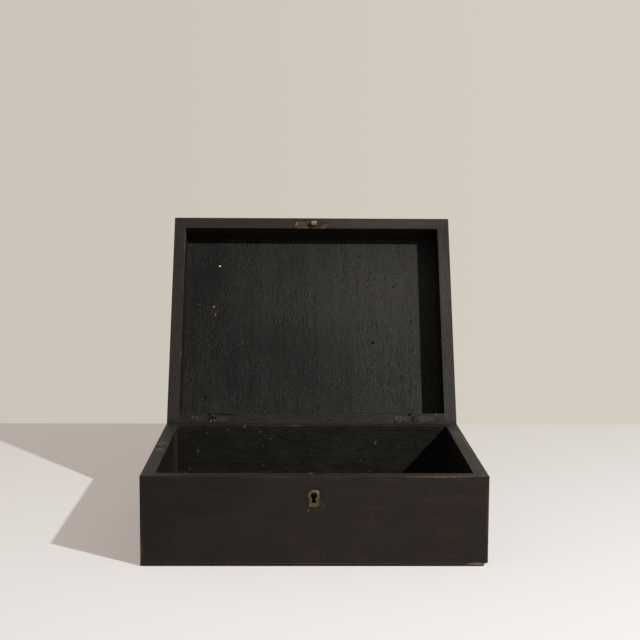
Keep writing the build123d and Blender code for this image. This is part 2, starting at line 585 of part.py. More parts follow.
def lid_pieces():
    """Lid boards, link plate and the lid's halves of the hinges, drawn shut."""
    rails_z = (LID_RIM_Z, LID_PANEL_Z)
    front = with_holes(lid_front_rail(), LINK_SCREWS, screw, SCREW_LENGTH, SCREW_FIT)
    back = with_holes(lid_back_rail(), LID_HINGE_SCREWS, screw, SCREW_LENGTH, SCREW_FIT)
    rails = {"lid_front_rail": front, "lid_back_rail": back,
             "lid_left_rail": end_board(-1, rails_z), "lid_right_rail": end_board(1, rails_z)}
    pieces = {}
    for name, rail in rails.items():
        rail = with_holes(rail, LID_CORNERS, nail, CORNER_NAIL_LENGTH, NAIL_FIT)
        pieces[name] = with_holes(rail, LID_TOP_NAILS, nail, LID_NAIL_LENGTH, NAIL_FIT)
    pieces["lid_top_panel"] = with_holes(lid_top_panel(), LID_TOP_NAILS, nail, LID_NAIL_LENGTH,
                                         NAIL_FIT)
    pieces["lid_corner_nails"] = group(LID_CORNERS, nail, CORNER_NAIL_LENGTH)
    pieces["lid_top_nails"] = group(LID_TOP_NAILS, nail, LID_NAIL_LENGTH)
    pieces["link_plate"] = with_holes(link_plate(), LINK_SCREWS, screw, SCREW_LENGTH, SCREW_FIT)
    pieces["link_staple"] = link_staple()
    pieces["link_plate_screws"] = group(LINK_SCREWS, screw, SCREW_LENGTH)
    for side, centre in HINGE_CENTRES.items():
        leaf = hinge_leaf(centre, LID_RIM_Z, 1, 1)
        pieces[f"{side}_hinge_lid_leaf"] = with_holes(leaf, LID_HINGE_SCREWS, screw,
                                                      SCREW_LENGTH, SCREW_FIT)
    pieces["lid_hinge_screws"] = group(LID_HINGE_SCREWS, screw, SCREW_LENGTH)
    return pieces


def main():
    os.makedirs("parts", exist_ok=True)
    pieces = box_pieces()
    pieces.update({name: opened(piece) for name, piece in lid_pieces().items()})
    for name, piece in pieces.items():
        export_step(piece, f"parts/{name}.step")


main()
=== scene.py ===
"""Looks of the deed box: black paint worn over pine, old brass and steel, in a plain studio.

Everything stands in the part's own frame: metres, +X right along the front, +Y back,
+Z up, with the lid open.  Patterns and marks on a piece are laid out in millimetres
as if the lid were shut, so that box and lid share one set of faces and edges.
"""
import json
import math
import random
from collections import namedtuple

import bmesh
import bpy
from mathutils import Matrix, Vector, noise

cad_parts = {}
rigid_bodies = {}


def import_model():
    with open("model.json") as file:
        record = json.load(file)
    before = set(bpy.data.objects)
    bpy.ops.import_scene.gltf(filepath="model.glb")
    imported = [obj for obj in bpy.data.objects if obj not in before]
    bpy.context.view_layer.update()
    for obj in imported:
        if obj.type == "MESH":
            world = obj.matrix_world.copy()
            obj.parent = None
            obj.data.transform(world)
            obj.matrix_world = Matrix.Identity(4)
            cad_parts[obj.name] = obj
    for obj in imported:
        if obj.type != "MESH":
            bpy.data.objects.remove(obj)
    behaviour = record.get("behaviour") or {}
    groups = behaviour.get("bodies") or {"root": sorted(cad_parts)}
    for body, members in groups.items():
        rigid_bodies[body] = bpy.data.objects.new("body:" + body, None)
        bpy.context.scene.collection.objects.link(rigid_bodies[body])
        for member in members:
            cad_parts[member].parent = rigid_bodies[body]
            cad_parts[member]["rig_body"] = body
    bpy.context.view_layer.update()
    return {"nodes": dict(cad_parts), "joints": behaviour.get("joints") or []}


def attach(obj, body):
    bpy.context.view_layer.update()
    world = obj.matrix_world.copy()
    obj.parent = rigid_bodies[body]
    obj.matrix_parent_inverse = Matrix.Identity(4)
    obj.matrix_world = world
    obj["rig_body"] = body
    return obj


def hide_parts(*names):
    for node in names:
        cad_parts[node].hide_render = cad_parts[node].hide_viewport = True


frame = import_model()

MM = 0.001  # metres
SEED = 5462


# --- Places in the shut box, in millimetres ---
hinge = next(joint for joint in frame["joints"] if joint["name"] == "lid_hinge")
HINGE_POINT = Vector(hinge["pos_m"])
SHUT_ANGLE = math.radians(hinge["range_deg"][1])
LID_SHUT = (Matrix.Translation(HINGE_POINT)
            @ Matrix.Rotation(SHUT_ANGLE, 4, Vector(hinge["axis"]))
            @ Matrix.Translation(-HINGE_POINT))


def on_lid(name):
    """Whether a node moves with the lid."""
    return frame["nodes"][name]["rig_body"] == "lid"


def to_shut(name):
    """Takes a node's own metres to millimetres in the shut box."""
    scale = Matrix.Scale(1 / MM, 4)
    return scale @ LID_SHUT if on_lid(name) else scale


def shut_box(name):
    """Lowest and highest corners of a node with the lid shut, in millimetres."""
    turned = to_shut(name)
    points = [turned @ vertex.co for vertex in frame["nodes"][name].data.vertices]
    low = Vector([min(point[axis] for point in points) for axis in range(3)])
    high = Vector([max(point[axis] for point in points) for axis in range(3)])
    return low, high


front_low, front_high = shut_box("box_front")
SIDE = front_high.x
FRONT = front_low.y
FOOT = front_low.z
RIM = front_high.z
BACK_INSIDE, BACK = (corner.y for corner in shut_box("box_back"))
END_INSIDE = -shut_box("box_left_end")[1].x
LID_RIM = shut_box("lid_front_rail")[0].z
LID_CEILING, LID_TOP = (corner.z for corner in shut_box("lid_top_panel"))
escutcheon_low, escutcheon_high = shut_box("keyhole_escutcheon")
KEY_X = (escutcheon_low.x + escutcheon_high.x) / 2
ESCUTCHEON_HEAD_RADIUS = 5.85
KEY_Z = escutcheon_high.z - ESCUTCHEON_HEAD_RADIUS


# --- Node trees ---
class Shader:
    """Node tree of a material or world.  Each call adds a node and returns its output."""

    def __init__(self, name, group=bpy.data.materials):
        self.owner = group.new(name)
        self.owner.use_nodes = True
        self.nodes = self.owner.node_tree.nodes
        self.links = self.owner.node_tree.links
        self.nodes.clear()

    def feed(self, socket, value):
        """Links an output to a socket, or sets the socket to a plain value."""
        if isinstance(value, bpy.types.NodeSocket):
            self.links.new(value, socket)
        elif hasattr(value, "__len__") and socket.type == "RGBA":
            socket.default_value = (*value[:3], 1)
        else:
            socket.default_value = value

    def node(self, kind, values=None, **settings):
        node = self.nodes.new("ShaderNode" + kind)
        for name, value in settings.items():
            setattr(node, name, value)
        for key, value in (values or {}).items():
            self.feed(node.inputs[key], value)
        return node

    def math(self, operation, *values):
        return self.node("Math", dict(enumerate(values)), operation=operation).outputs[0]

    def folded(self, operation, first, *others):
        for other in others:
            first = self.math(operation, first, other)
        return first

    def total(self, *values):
        return self.folded("ADD", *values)

    def product(self, *values):
        return self.folded("MULTIPLY", *values)

    def least(self, *values):
        return self.folded("MINIMUM", *values)

    def most(self, *values):
        return self.folded("MAXIMUM", *values)

    def weighed(self, *parts, base=None):
        """Sum of values, each given with its weight, on a base."""
        parts = [self.product(*part) for part in parts]
        return self.total(*parts) if base is None else self.total(base, *parts)

    def sway(self, value, gain):
        """How far a value is from a half, times a gain."""
        return self.math("MULTIPLY_ADD", value, gain, -0.5 * gain)

    def rise(self, value, low, high):
        """0 below low and 1 above high, smooth between; the other way round if low > high."""
        return self.node("MapRange", {"Value": value, "From Min": low, "From Max": high},
                         interpolation_type="SMOOTHSTEP").outputs[0]

    def span(self, value, low, high):
        """Takes 0..1 to low..high."""
        return self.node("MapRange", {"Value": value, "To Min": low, "To Max": high}).outputs[0]

    def blend(self, share, first, second):
        """Colour between two colours."""
        node = self.node("Mix", data_type="RGBA")
        for index, value in ((0, share), (6, first), (7, second)):
            self.feed(node.inputs[index], value)
        return node.outputs[2]

    def noise(self, place, detail, roughness):
        """Cloudy pattern around 0.5."""
        return self.node("TexNoise", {"Vector": place, "Scale": 1, "Detail": detail,
                                      "Roughness": roughness}).outputs[0]

    def stretched(self, place, along, length, width, shift=0.0):
        """Place for a pattern drawn out along one axis, with its grain's length and width."""
        scale = [1 / width] * 3
        scale["XYZ".index(along)] = 1 / length
        return self.node("Mapping", {"Vector": place, "Scale": scale,
                                     "Location": (shift, 2 * shift, 3 * shift)}).outputs[0]

    def pattern(self, place, along, kind, shift=0.0):
        """One of the Patterns below, drawn out along an axis."""
        grain = self.stretched(place, along, kind.length, kind.width, shift + kind.shift)
        return self.noise(grain, kind.detail, kind.roughness)

    def place(self, name):
        """Millimetres in the shut box, for a surface that belongs to the named node."""
        object_place = self.node("TexCoord").outputs["Object"]
        turned = on_lid(name)
        values = {"Vector": object_place, "Scale": (1 / MM,) * 3,
                  "Rotation": (SHUT_ANGLE if turned else 0, 0, 0),
                  "Location": LID_SHUT.translation / MM if turned else (0, 0, 0)}
        return self.node("Mapping", values).outputs[0]

    def coordinate(self, place, axis):
        """One coordinate of a place, or one channel of a colour."""
        return self.node("SeparateXYZ", {0: place}).outputs[axis]

    def gap(self, first, second):
        """How far two values are apart."""
        return self.math("ABSOLUTE", self.math("SUBTRACT", first, second))

    def bump(self, height):
        """Normal from a height in millimetres."""
        values = {"Height": height, "Distance": MM, "Strength": 1}
        return self.node("Bump", values).outputs[0]

    def end(self, surface, kind="OutputMaterial"):
        """Ends the tree in its output node, and returns the material or world."""
        self.node(kind, {0: surface})
        return self.owner

    def finish(self, **values):
        """Ends the tree in the surface shader, whose inputs are named with underscores."""
        values = {key.replace("_", " "): value for key, value in values.items()}
        return self.end(self.node("BsdfPrincipled", values).outputs[0])


# --- Marks of wear ---
# A mark is an ellipsoid round a place, in millimetres in the shut box, turned in degrees.
# Its depth is 0 at its edge and its strength in its middle.
Mark = namedtuple("Mark", "kind place reach strength turn")

# What a mark does, and the depths at which it starts to show and is whole.
Kind = namedtuple("Kind", "look start whole")
RUBBED = Kind("paint thinned to the red-brown ground", -0.6, 0.9)
# Bare marks show worn wood or metal; on the escutcheon some of them are painted highlight.
BARE_AND_HIGHLIGHT = Kind("worn down to the wood or metal", 0, 0.7)
# Pale grazes; along the lid's left inner arris the same kind is a painted highlight.
SCUFF_AND_HIGHLIGHT = Kind("pale graze", 0, 0.8)
CHALKED = Kind("white fleck", 0, 0.6)
# Dark holes: real pits in the paint, and also painted shade, near-black put in the hinge's
# hollow screw hole and in the gaps at the knuckles and leaf ends.
PIT_AND_HOLLOW_SHADE = Kind("dark hole", 0, 0.5)
GREYED = Kind("dulled and lighter", -0.1, 0.6)
# Thick dark paint; along the foot of the front the same kind is painted shade.
THICK_PAINT_AND_SHADE = Kind("thick dark paint", -0.3, 0.6)
PEPPERED = Kind("specked with brown", 0, 0.7)
BROWNED = Kind("dull old brass", -0.1, 0.6)
COATED = Kind("metal still covered by paint", 0, 0.5)


def marks_on(axis, level, rows_by_kind):
    """Marks with their middles in the plane across an axis at a level.

    A row holds a middle's two other coordinates, the reach along X, Y and Z and, if they
    aren't 1 and 0, the strength and the turn about the axis.
    """
    index = "XYZ".index(axis)

    def mark(kind, middle, reach, strength=1, angle=0):
        turn = [0, 0, 0]
        turn[index] = angle
        return Mark(kind, (*middle[:index], level, *middle[index:]), reach, strength, turn)

    return [mark(kind, *row) for kind, rows in rows_by_kind.items() for row in rows]


FRONT_MARKS = marks_on("Y", FRONT, {
    RUBBED: [((72, 83), (22, 5, 4)), ((142, 83), (26, 5, 4), 1.6), ((107, 64), (12, 5, 4)),
             ((138, 68), (9, 5, 3)), ((60, 56), (22, 5, 5)), ((46, 41), (18, 5, 6)),
             ((112, 47), (20, 5, 7)), ((128, 33), (26, 5, 12)), ((122, 7), (32, 5, 8), 2),
             ((46, 9), (20, 5, 6)), ((-2, 14), (13, 5, 13)), ((-22, 22.5), (24, 5, 2)),
             ((-82, 4), (44, 5, 2.2)), ((-96, 70), (16, 5, 3)), ((-134, 85), (16, 5, 2)),
             ((-SIDE, 18), (4, 4, 22), 4), ((SIDE, 45), (3.4, 3.4, 52), 4),
             ((-6.6, 54), (2.2, 3, 3.4), 1.4, 20)],
    BARE_AND_HIGHLIGHT: [((-6.4, 53.8), (1.2, 3, 2.6), 0.16, 30), ((-SIDE, 17), (3.4, 3.4, 15), 0.16),
           ((SIDE, 44), (2.6, 2.6, 46), 0.16), ((154, 3), (9, 3, 0.6))],
    SCUFF_AND_HIGHLIGHT: [((57, 41), (22, 3, 0.7), 0.3, 73), ((65, 22), (10, 3, 0.6), 0.25, 80),
              ((9.5, 11), (0.5, 3, 8), 0.5, 4), ((-146, 14), (1.8, 3, 0.4), 0.4, 20),
              ((8, 58.5), (3.6, 3, 1.8), 0.5, -20), ((5.5, 63), (1.2, 3, 2), 0.4),
              ((109, 75), (0.6, 3, 7), 0.35, 3), ((115, 74), (0.5, 3, 5), 0.35, -4),
              ((118, RIM), (44, 2, 1.5), 1.3), ((-30, 86), (28, 3, 3.5), 0.2),
              ((22, 85), (20, 3, 5), 0.18)],
    THICK_PAINT_AND_SHADE: [((KEY_X - 1, KEY_Z + 1), (10, 5, 10)), ((-126, 76), (74, 9, 30), 1.6),
           ((-150, 40), (22, 9, 42))],
    PIT_AND_HOLLOW_SHADE: [((-122, 31), (13, 3, 0.5), 0.15), ((-131, 62), (5, 3, 2.5), 0.15)],
}) + marks_on("Z", RIM, {
    SCUFF_AND_HIGHLIGHT: [((159, FRONT + 6), (6, 6, 1.5))],
})
LEFT_END_MARKS = marks_on("Z", RIM, {
    SCUFF_AND_HIGHLIGHT: [((-159, 18), (5, 11, 1.5), 1.5, -22), ((-158, -12), (6, 10, 1.5), 1.2, 15)],
    RUBBED: [((-156, 0), (8, 30, 2), 1.5), ((-153, 22), (3, 14, 2), 1.5)],
    BARE_AND_HIGHLIGHT: [((-152.4, 14), (1.3, 6, 2), 0.3)],
    PIT_AND_HOLLOW_SHADE: [((-161, 2), (3, 3, 1), 0.6, -30)],
}) + marks_on("X", -END_INSIDE, {
    RUBBED: [((96, 74), (3, 16, 10))],
    GREYED: [((100, 40), (4, 40, 120), 2.5)],
})
RIGHT_END_MARKS = marks_on("Z", RIM, {
    RUBBED: [((SIDE, -70), (2, 40, 1.4)), ((158, 10), (8, 90, 2), 1.3)],
    GREYED: [((158, 70), (8, 60, 2), 1.5)],
    SCUFF_AND_HIGHLIGHT: [((162, 30), (1.6, 80, 2), 0.8), ((157, 60), (7, 60, 2), 0.4)],
}) + marks_on("X", SIDE, {
    RUBBED: [((20, 30), (3, 70, 8)), ((-60, 58), (3, 30, 4))],
    SCUFF_AND_HIGHLIGHT: [((64, 52), (2, 17, 0.5), 0.5, 24)],
})
BACK_GRAZES = ((-150, 84, 60), (-118, 78, 20), (-95, 82, -50), (-58, 80, 0), (-47, 72, 15),
               (-55, 63, 5), (-138, 37, 70), (-144, 33, 20), (-55, 41, 0), (55, 47, 10),
               (66, 35, 30), (113, 65, -20))
BACK_MARKS = marks_on("Y", BACK_INSIDE, {
    SCUFF_AND_HIGHLIGHT: [((x, z), (1.8, 3, 1), 1, turn) for x, z, turn in BACK_GRAZES] + [
        ((-128.5, 58), (2.2, 3, 1.4), 2, 55), ((71.5, 67), (1.8, 3, 4), 1, 10),
        ((-157, 88), (6, 3, 2.2)), ((-20, RIM), (14, 3, 1.4), 0.8),
        ((-76, 86), (1.8, 3, 2.6), 1.5)],
    RUBBED: [((-76, 85), (5, 3, 2))],
    PEPPERED: [((-130, 34), (20, 3, 14), 0.6)],
}) + marks_on("Y", BACK, {
    RUBBED: [((40, 30), (60, 3, 9))],
    SCUFF_AND_HIGHLIGHT: [((-70, 51), (26, 2, 0.5), 0.5, 12)],
})
PANEL_PITS = ((73, 18, 2.4), (99, -54, 1.3), (119, -9, 1.4), (-125, 87, 1.8), (-72, 99, 1),
              (-65, 43, 1), (-98, 75, 0.7), (-50, -60, 0.6), (76, -104, 0.6),
              (88, 107, 0.8), (40, 12, 0.7))
PANEL_MARKS = marks_on("Z", LID_CEILING, {
    CHALKED: [((-111.6, -80), (1.6, 1.2, 3)), ((-117.4, -27), (1.5, 0.8, 3), 0.45, 35),
              ((-115, -17), (1.2, 0.7, 3), 0.6, -20)],
    SCUFF_AND_HIGHLIGHT: [((-90, -15), (0.8, 0.8, 3)), ((-136, -30), (1.4, 1, 3)),
              ((116, -84), (6, 0.8, 3), 0.4, -50)],
    RUBBED: [((-116, -22), (6, 14, 3), 1.6, 10), ((116, -82), (9, 2.2, 3), 1.4, -50),
             ((125, 107), (3, 9, 3))],
    PEPPERED: [((-146, -22), (9, 18, 3))],
    THICK_PAINT_AND_SHADE: [((-128, 10), (34, 140, 6)), ((-30, 60), (110, 80, 6)),
           ((71, -5), (4.5, 85, 8), 0.5), ((91, -58), (4, 32, 8), 0.5),
           ((54, -40), (4, 50, 8), 0.4, 2), ((5, -30), (5, 60, 8), 0.3, 3),
           ((38, -60), (4, 45, 8), 0.3, 2)],
    GREYED: [((80, -50), (120, 120, 3), 0.45)],
    PIT_AND_HOLLOW_SHADE: [((x, y), (size, size, 3)) for x, y, size in PANEL_PITS],
})
LID_LEFT_MARKS = marks_on("Z", LID_RIM, {
    # Painted highlight: pale lines along the left rail's inner arris, where the key light
    # catches it.
    SCUFF_AND_HIGHLIGHT: [((-END_INSIDE, -35), (0.9, 84, 0.9), 0.6),
              ((-END_INSIDE, -96), (1.2, 24, 1.2), 1.2)],
    BARE_AND_HIGHLIGHT: [((-END_INSIDE, 44), (1.2, 8, 1.2), 0.3)],
    RUBBED: [((-END_INSIDE, 92), (0.8, 30, 0.8))],
})
LID_RIGHT_MARKS = marks_on("Z", LID_RIM, {
    RUBBED: [((SIDE, -20), (1.2, 75, 1.2))],
    GREYED: [((158, -40), (8, 60, 2))],
})
LID_FRONT_MARKS = marks_on("Z", LID_RIM, {
    RUBBED: [((-100, FRONT), (60, 1, 1)), ((60, FRONT), (90, 1, 1))],
    GREYED: [((80, -122), (90, 8, 2))],
})
LID_BACK_MARKS = marks_on("Z", LID_RIM, {
    SCUFF_AND_HIGHLIGHT: [((-88, BACK_INSIDE), (9, 0.6, 1), 1, 3), ((-110, 113.6), (4, 0.9, 1), 1, 14),
              ((141.4, 123.4), (1.5, 4.6, 2), 1.6, -24),
              ((142, 116.8), (1.4, 4.6, 2), 1.4, 16),
              ((138, 126.4), (4.4, 1.3, 2), 1.4, -10), ((60, 117), (5, 0.7, 1))],
    RUBBED: [((-80, 117.5), (16, 0.8, 1)), ((72, BACK_INSIDE), (9, 0.8, 1))],
    # Painted shade: dark marks on the rail along the hinge leaves' edges, beside the hollow
    # screw hole and the knuckle gap.
    PIT_AND_HOLLOW_SHADE: [((-98, 117.6), (13, 0.7, 1), 1.5, 4), ((-117, 119.4), (4, 3, 1), 1.5, 14),
             ((111.4, 116.6), (2.2, 2.4, 1), 1.5, -20)],
}) + marks_on("Y", BACK, {
    RUBBED: [((30, 100), (90, 2, 5))],
})
BOTTOM_MARKS = marks_on("Y", FRONT, {
    SCUFF_AND_HIGHLIGHT: [((20, 2.7), (140, 2, 0.6), 0.5), ((157, 2.2), (13, 3, 1.2), 2)],
    # Painted shade: a dark strip along the bottom board's front edge, where the box meets the
    # floor.
    THICK_PAINT_AND_SHADE: [((0, 0.3), (170, 2, 1.2))],
    BARE_AND_HIGHLIGHT: [((154, 2.2), (13, 3, 0.9), 0.35)],
    RUBBED: [((-150, 1.5), (14, 2, 1.2))],
}) + marks_on("X", SIDE - 2, {
    BARE_AND_HIGHLIGHT: [((FRONT + 12, 1.5), (4, 16, 3), 0.3)],
    SCUFF_AND_HIGHLIGHT: [((FRONT + 10, 2), (5, 18, 2.5), 2)],
})
TOP_MARKS = marks_on("Z", LID_TOP, {
    RUBBED: [((-60, -96), (60, 14, 2), 1, 3), ((70, -70), (46, 20, 2), 1, -4),
             ((96, 60), (40, 12, 2), 1, 6), ((-110, 40), (34, 18, 2), 1, -8),
             ((0, 100), (70, 8, 2)), ((150, -20), (12, 60, 2))],
    SCUFF_AND_HIGHLIGHT: [((-20, -30), (48, 0.5, 2), 0.5, 31), ((52, 22), (30, 0.45, 2), 0.5, -52),
              ((-92, 70), (14, 0.6, 2), 0.6, 12)],
    PIT_AND_HOLLOW_SHADE: [((104, -98), (2.2, 1.6, 2)), ((-138, 84), (1.6, 1.9, 2))],
})
ESCUTCHEON_MARKS = marks_on("Y", FRONT, {
    # Partly worn brass and partly painted highlight: bright marks at the head's right, top and
    # left edges and by the foot, where the key light from the upper right catches the raised
    # rim.
    BARE_AND_HIGHLIGHT: [((KEY_X + 3.9, KEY_Z + 3), (2.6, 3, 1.2), 1, 60),
           ((KEY_X - 4.6, KEY_Z + 1.6), (1.3, 3, 3.4), 0.5, 25),
           ((KEY_X - 0.5, KEY_Z + 4.6), (4.2, 3, 1.3), 0.7),
           ((KEY_X + 0.5, KEY_Z - 8.8), (4.6, 3, 0.8), 0.3)],
    BROWNED: [((KEY_X, KEY_Z - 8.2), (5.6, 3, 2), 0.7),
              ((KEY_X - 3.4, KEY_Z - 4.4), (2.6, 3, 3.6)),
              ((KEY_X + 3.6, KEY_Z - 5.4), (1.6, 3, 3.4))],
    COATED: [((KEY_X + 5.6, KEY_Z - 9.6), (3, 3, 1.9), 1, -18),
             ((KEY_X - 5.2, KEY_Z - 7.2), (0.9, 3, 3)),
             ((KEY_X - 1, KEY_Z + 6.1), (3.4, 3, 0.9))],
})
SELVEDGE_MARKS = marks_on("Z", RIM, {
    BARE_AND_HIGHLIGHT: [((-4, -115.8), (2.6, 2.4, 1))],
})
LINK_MARKS = marks_on("Z", LID_RIM, {
    COATED: [((-1.4, -121), (2.4, 9, 3)), ((13.5, -122), (8, 6, 2))],
    BARE_AND_HIGHLIGHT: [((-18.6, -121.5), (1, 4.2, 2), 0.5, 12), ((-15.2, -124.5), (3, 0.6, 2), 0.5, 8),
           ((17.6, -121), (0.6, 3.4, 2), 0.5, -10), ((9.6, -124.6), (2.4, 0.6, 2), 0.5, -20)],
    SCUFF_AND_HIGHLIGHT: [((-18.6, -121.5), (1.6, 4.8, 2), 2, 12)],
    BROWNED: [((-10, -121), (9, 9, 2))],
})
LEAF_MARKS = marks_on("Z", LID_RIM, {
    # Painted shade: near-black in the left leaf's hollow screw hole, at its left end and in the
    # right leaf's knuckle gap, where shade would fall. The bright specks by the hollow are worn
    # brass, partly painted highlight.
    PIT_AND_HOLLOW_SHADE: [((-114.8, 123.4), (6.2, 4.6, 2), 2, -15), ((-138.8, 123), (0.9, 5.4, 2), 1.5),
             ((114.6, 122.6), (2.3, 11, 2), 2, 3)],
    BARE_AND_HIGHLIGHT: [((-115, 125), (1.3, 1, 2), 1.5, 20), ((-110.6, 124.6), (3, 0.6, 2), 0.7, 36)],
    BROWNED: [((-103, 123), (10, 4.2, 2)), ((-131, 123), (8, 4.2, 2), 0.6),
              ((103, 122.6), (11, 5.6, 2)), ((129, 122), (12, 5.6, 2))],
    SCUFF_AND_HIGHLIGHT: [((-136, 120.5), (0.8, 2.4, 2), 0.7, 30), ((-131, 120.8), (0.8, 1.8, 2), 0.6, -30),
              ((-112.5, 119.2), (3.6, 0.7, 2), 0.6, 24), ((-103, 127.6), (8, 0.6, 2), 0.5, -4),
              ((96.8, 121), (1.2, 3.6, 2), 0.6, 8), ((101.4, 120), (2.6, 1.3, 2), 0.5, -12),
              ((100.6, 124.6), (1.2, 2.4, 2), 0.5, 40), ((125, 117.8), (9, 0.6, 2), 0.6, 3),
              ((126, 124.6), (5, 0.6, 2), 0.5, 6)],
})


TEAR_FINENESS = 0.35  # ragged edges of the marks: waves to a millimetre
TEAR_DETAIL = 4


def mark_depth(shader, place, marks, kind):
    """Depth of a surface in the marks of a kind.

    Without such a mark it is 0, so a kind that starts below 0 then leaves a trace all over.
    """
    deepest = None
    for mark in marks:
        if mark.kind == kind:
            turn = [math.radians(angle) for angle in mark.turn]
            inside = shader.node("Mapping", {"Vector": place, "Location": mark.place,
                                             "Rotation": turn, "Scale": mark.reach},
                                 vector_type="TEXTURE").outputs[0]
            distance = shader.node("VectorMath", {0: inside}, operation="LENGTH").outputs[1]
            depth = shader.math("MULTIPLY_ADD", distance, -mark.strength, mark.strength)
            deepest = shader.most(deepest, depth) if deepest else depth
    return deepest or 0.0


def marked(shader, place, marks, kind):
    """How far a surface has the look of a kind of mark, 0 to 1."""
    return shader.rise(mark_depth(shader, place, marks, kind), kind.start, kind.whole)


def roughened(shader, place, reach):
    """Place pushed about by up to about a reach, which gives marks a torn edge."""
    coarse = shader.stretched(place, "X", 1 / TEAR_FINENESS, 1 / TEAR_FINENESS)
    wander = shader.node("TexNoise", {"Vector": coarse, "Scale": 1,
                                      "Detail": TEAR_DETAIL}).outputs["Color"]
    centred = shader.node("VectorMath", {0: wander, 1: (0.5,) * 3}, operation="SUBTRACT")
    return shader.node("VectorMath", {0: centred.outputs[0], 1: (2 * reach,) * 3, 2: place},
                       operation="MULTIPLY_ADD").outputs[0]


# --- Patterns ---
# Length with the grain and width across it in millimetres, how fine and strong the detail is,
# and how far it is moved so that no two patterns lie alike.
Pattern = namedtuple("Pattern", "length width detail roughness shift", defaults=[0.55, 0])


def even_pattern(fineness, *settings):
    """Pattern alike in all directions, with so many grains to a millimetre."""
    return Pattern(1 / fineness, 1 / fineness, *settings)


FIBRE = Pattern(34, 0.9, 6, 0.65)
SWEEP = Pattern(260, 16, 3)
BLOTCH = Pattern(9, 3.5, 5, 0.7)
STREAK = Pattern(15, 1.1, 5, 0.7, 3)
RIM_LINE = Pattern(20, 1.5, 5, 0.75, 6)
WOOD_LINE = Pattern(30, 0.5, 4)
CLOUD = even_pattern(0.035, 5, 0.6)
GRIT = even_pattern(1.1, 3)
PATCH = even_pattern(0.022, 4, 0.6, 8)
HANDLING = even_pattern(0.03, 5, 0.7, 5)
CHIPPING = even_pattern(0.8, 5, 0.65)
METAL_CLOUD = even_pattern(0.28, 5, 0.65)
METAL_SPECK = even_pattern(1.7, 4, 0.7, 9)
SCRATCHES = Pattern(2, 1 / 7, 3, 0.6, 4)


# --- Paint on wood ---
PAINT_DEEP = (0.0018, 0.0016, 0.0013)
PAINT_LIGHT = (0.0158, 0.0148, 0.0112)
PAINT_OUTSIDE = (0.0160, 0.0114, 0.0084)
PAINT_GREYED = (0.034, 0.031, 0.0245)
PAINT_FLECK = (0.058, 0.056, 0.047)
RIM_GREY = (0.0225, 0.0220, 0.0195)
RIM_BROWN = (0.0300, 0.0185, 0.0130)
PAINT_STAIN = (0.040, 0.027, 0.021)
GROUND_RED = (0.036, 0.0132, 0.0100)
GROUND_BROWN = (0.042, 0.024, 0.013)
WOOD_PALE = (0.34, 0.22, 0.12)
WOOD_DARK = (0.13, 0.068, 0.032)
# Pale grazes, and the painted highlight on the lid's left inner arris.
PALE_SCUFF_AND_HIGHLIGHT = (0.155, 0.147, 0.120)
CHALK_COLOUR = (0.78, 0.76, 0.72)
# Near-black of pits in the paint, also used as painted shade in the hinge's hollow and gaps.
PIT_AND_SHADE_COLOUR = (0.0008, 0.0007, 0.0006)
PAINT_GLOSS = 0.20  # specular level of the old satin paint
PAINT_ROUGHNESS = 0.42
PAINT_RAGGEDNESS = 0.9  # millimetres a mark's edge wanders in paint
PATTERN_STEP = 17.3  # from one board's patterns to the next board's
GROUND_SHOWN = 0.66  # how much of the ground rubbed paint lets through
WARM_CAST = 0.16  # and how much sound paint does
HANDLED_WIDTH = 1.5  # millimetres of wear at an arris where it is handled
LEAST_WIDTH = 0.12  # and everywhere
DOT_SPACING = 1.25  # cell width, by a dot's size
DOT_LENGTH = 1.5  # cell length, by its width

# Levels of a pattern between which what it makes goes from unseen to whole.
TONES = (-0.05, 1.05)
PATCHES = (0.42, 0.60)
BROWN_LINES = (0.47, 0.60)
DARK_LINES = (0.44, 0.34)
WOOD_LINES = (0.35, 0.65)
THIN = (0.61, 0.95)
WARM_CLOUDS = (-1.0, 1.7)
HANDLED = (0.45, 0.70)
CHIPS = (0.5, 0.6)
FLAKES = (0.36, 0.52)
SCUFF_GAPS = (0.40, 0.62)
# The same for depths in millimetres: past an arris's wear, and under an outer face or a rim.
GROUND_EDGE = (-0.6, 0.4)
WOOD_EDGE = (0.35, 0.95)
OUTSIDE_SKIN = (1.5, 0.7)
RIM_SKIN = (0.35, 0.15)
# And for the edge and the middle of a bare mark, and the radius of a dot in its cell.
BARE_EDGE = (0.0, 0.35)
BARE_WITHIN = (0.3, 0.6)
DOT_FADE = (0.42, 0.22)

# A board's paint: the way its grain runs, its marks and tint, and how strong each pattern is.
Paint = namedtuple("Paint", "grain marks tint fibre brush mottle specks pimples coarse "
                            "warmth rim_wear edge_wear",
                   defaults=[(), (1, 1, 1), 0.8, 0.6, 0.8, 0.3, 0.3, 1.0, 0.3, 0.8, 0.5])


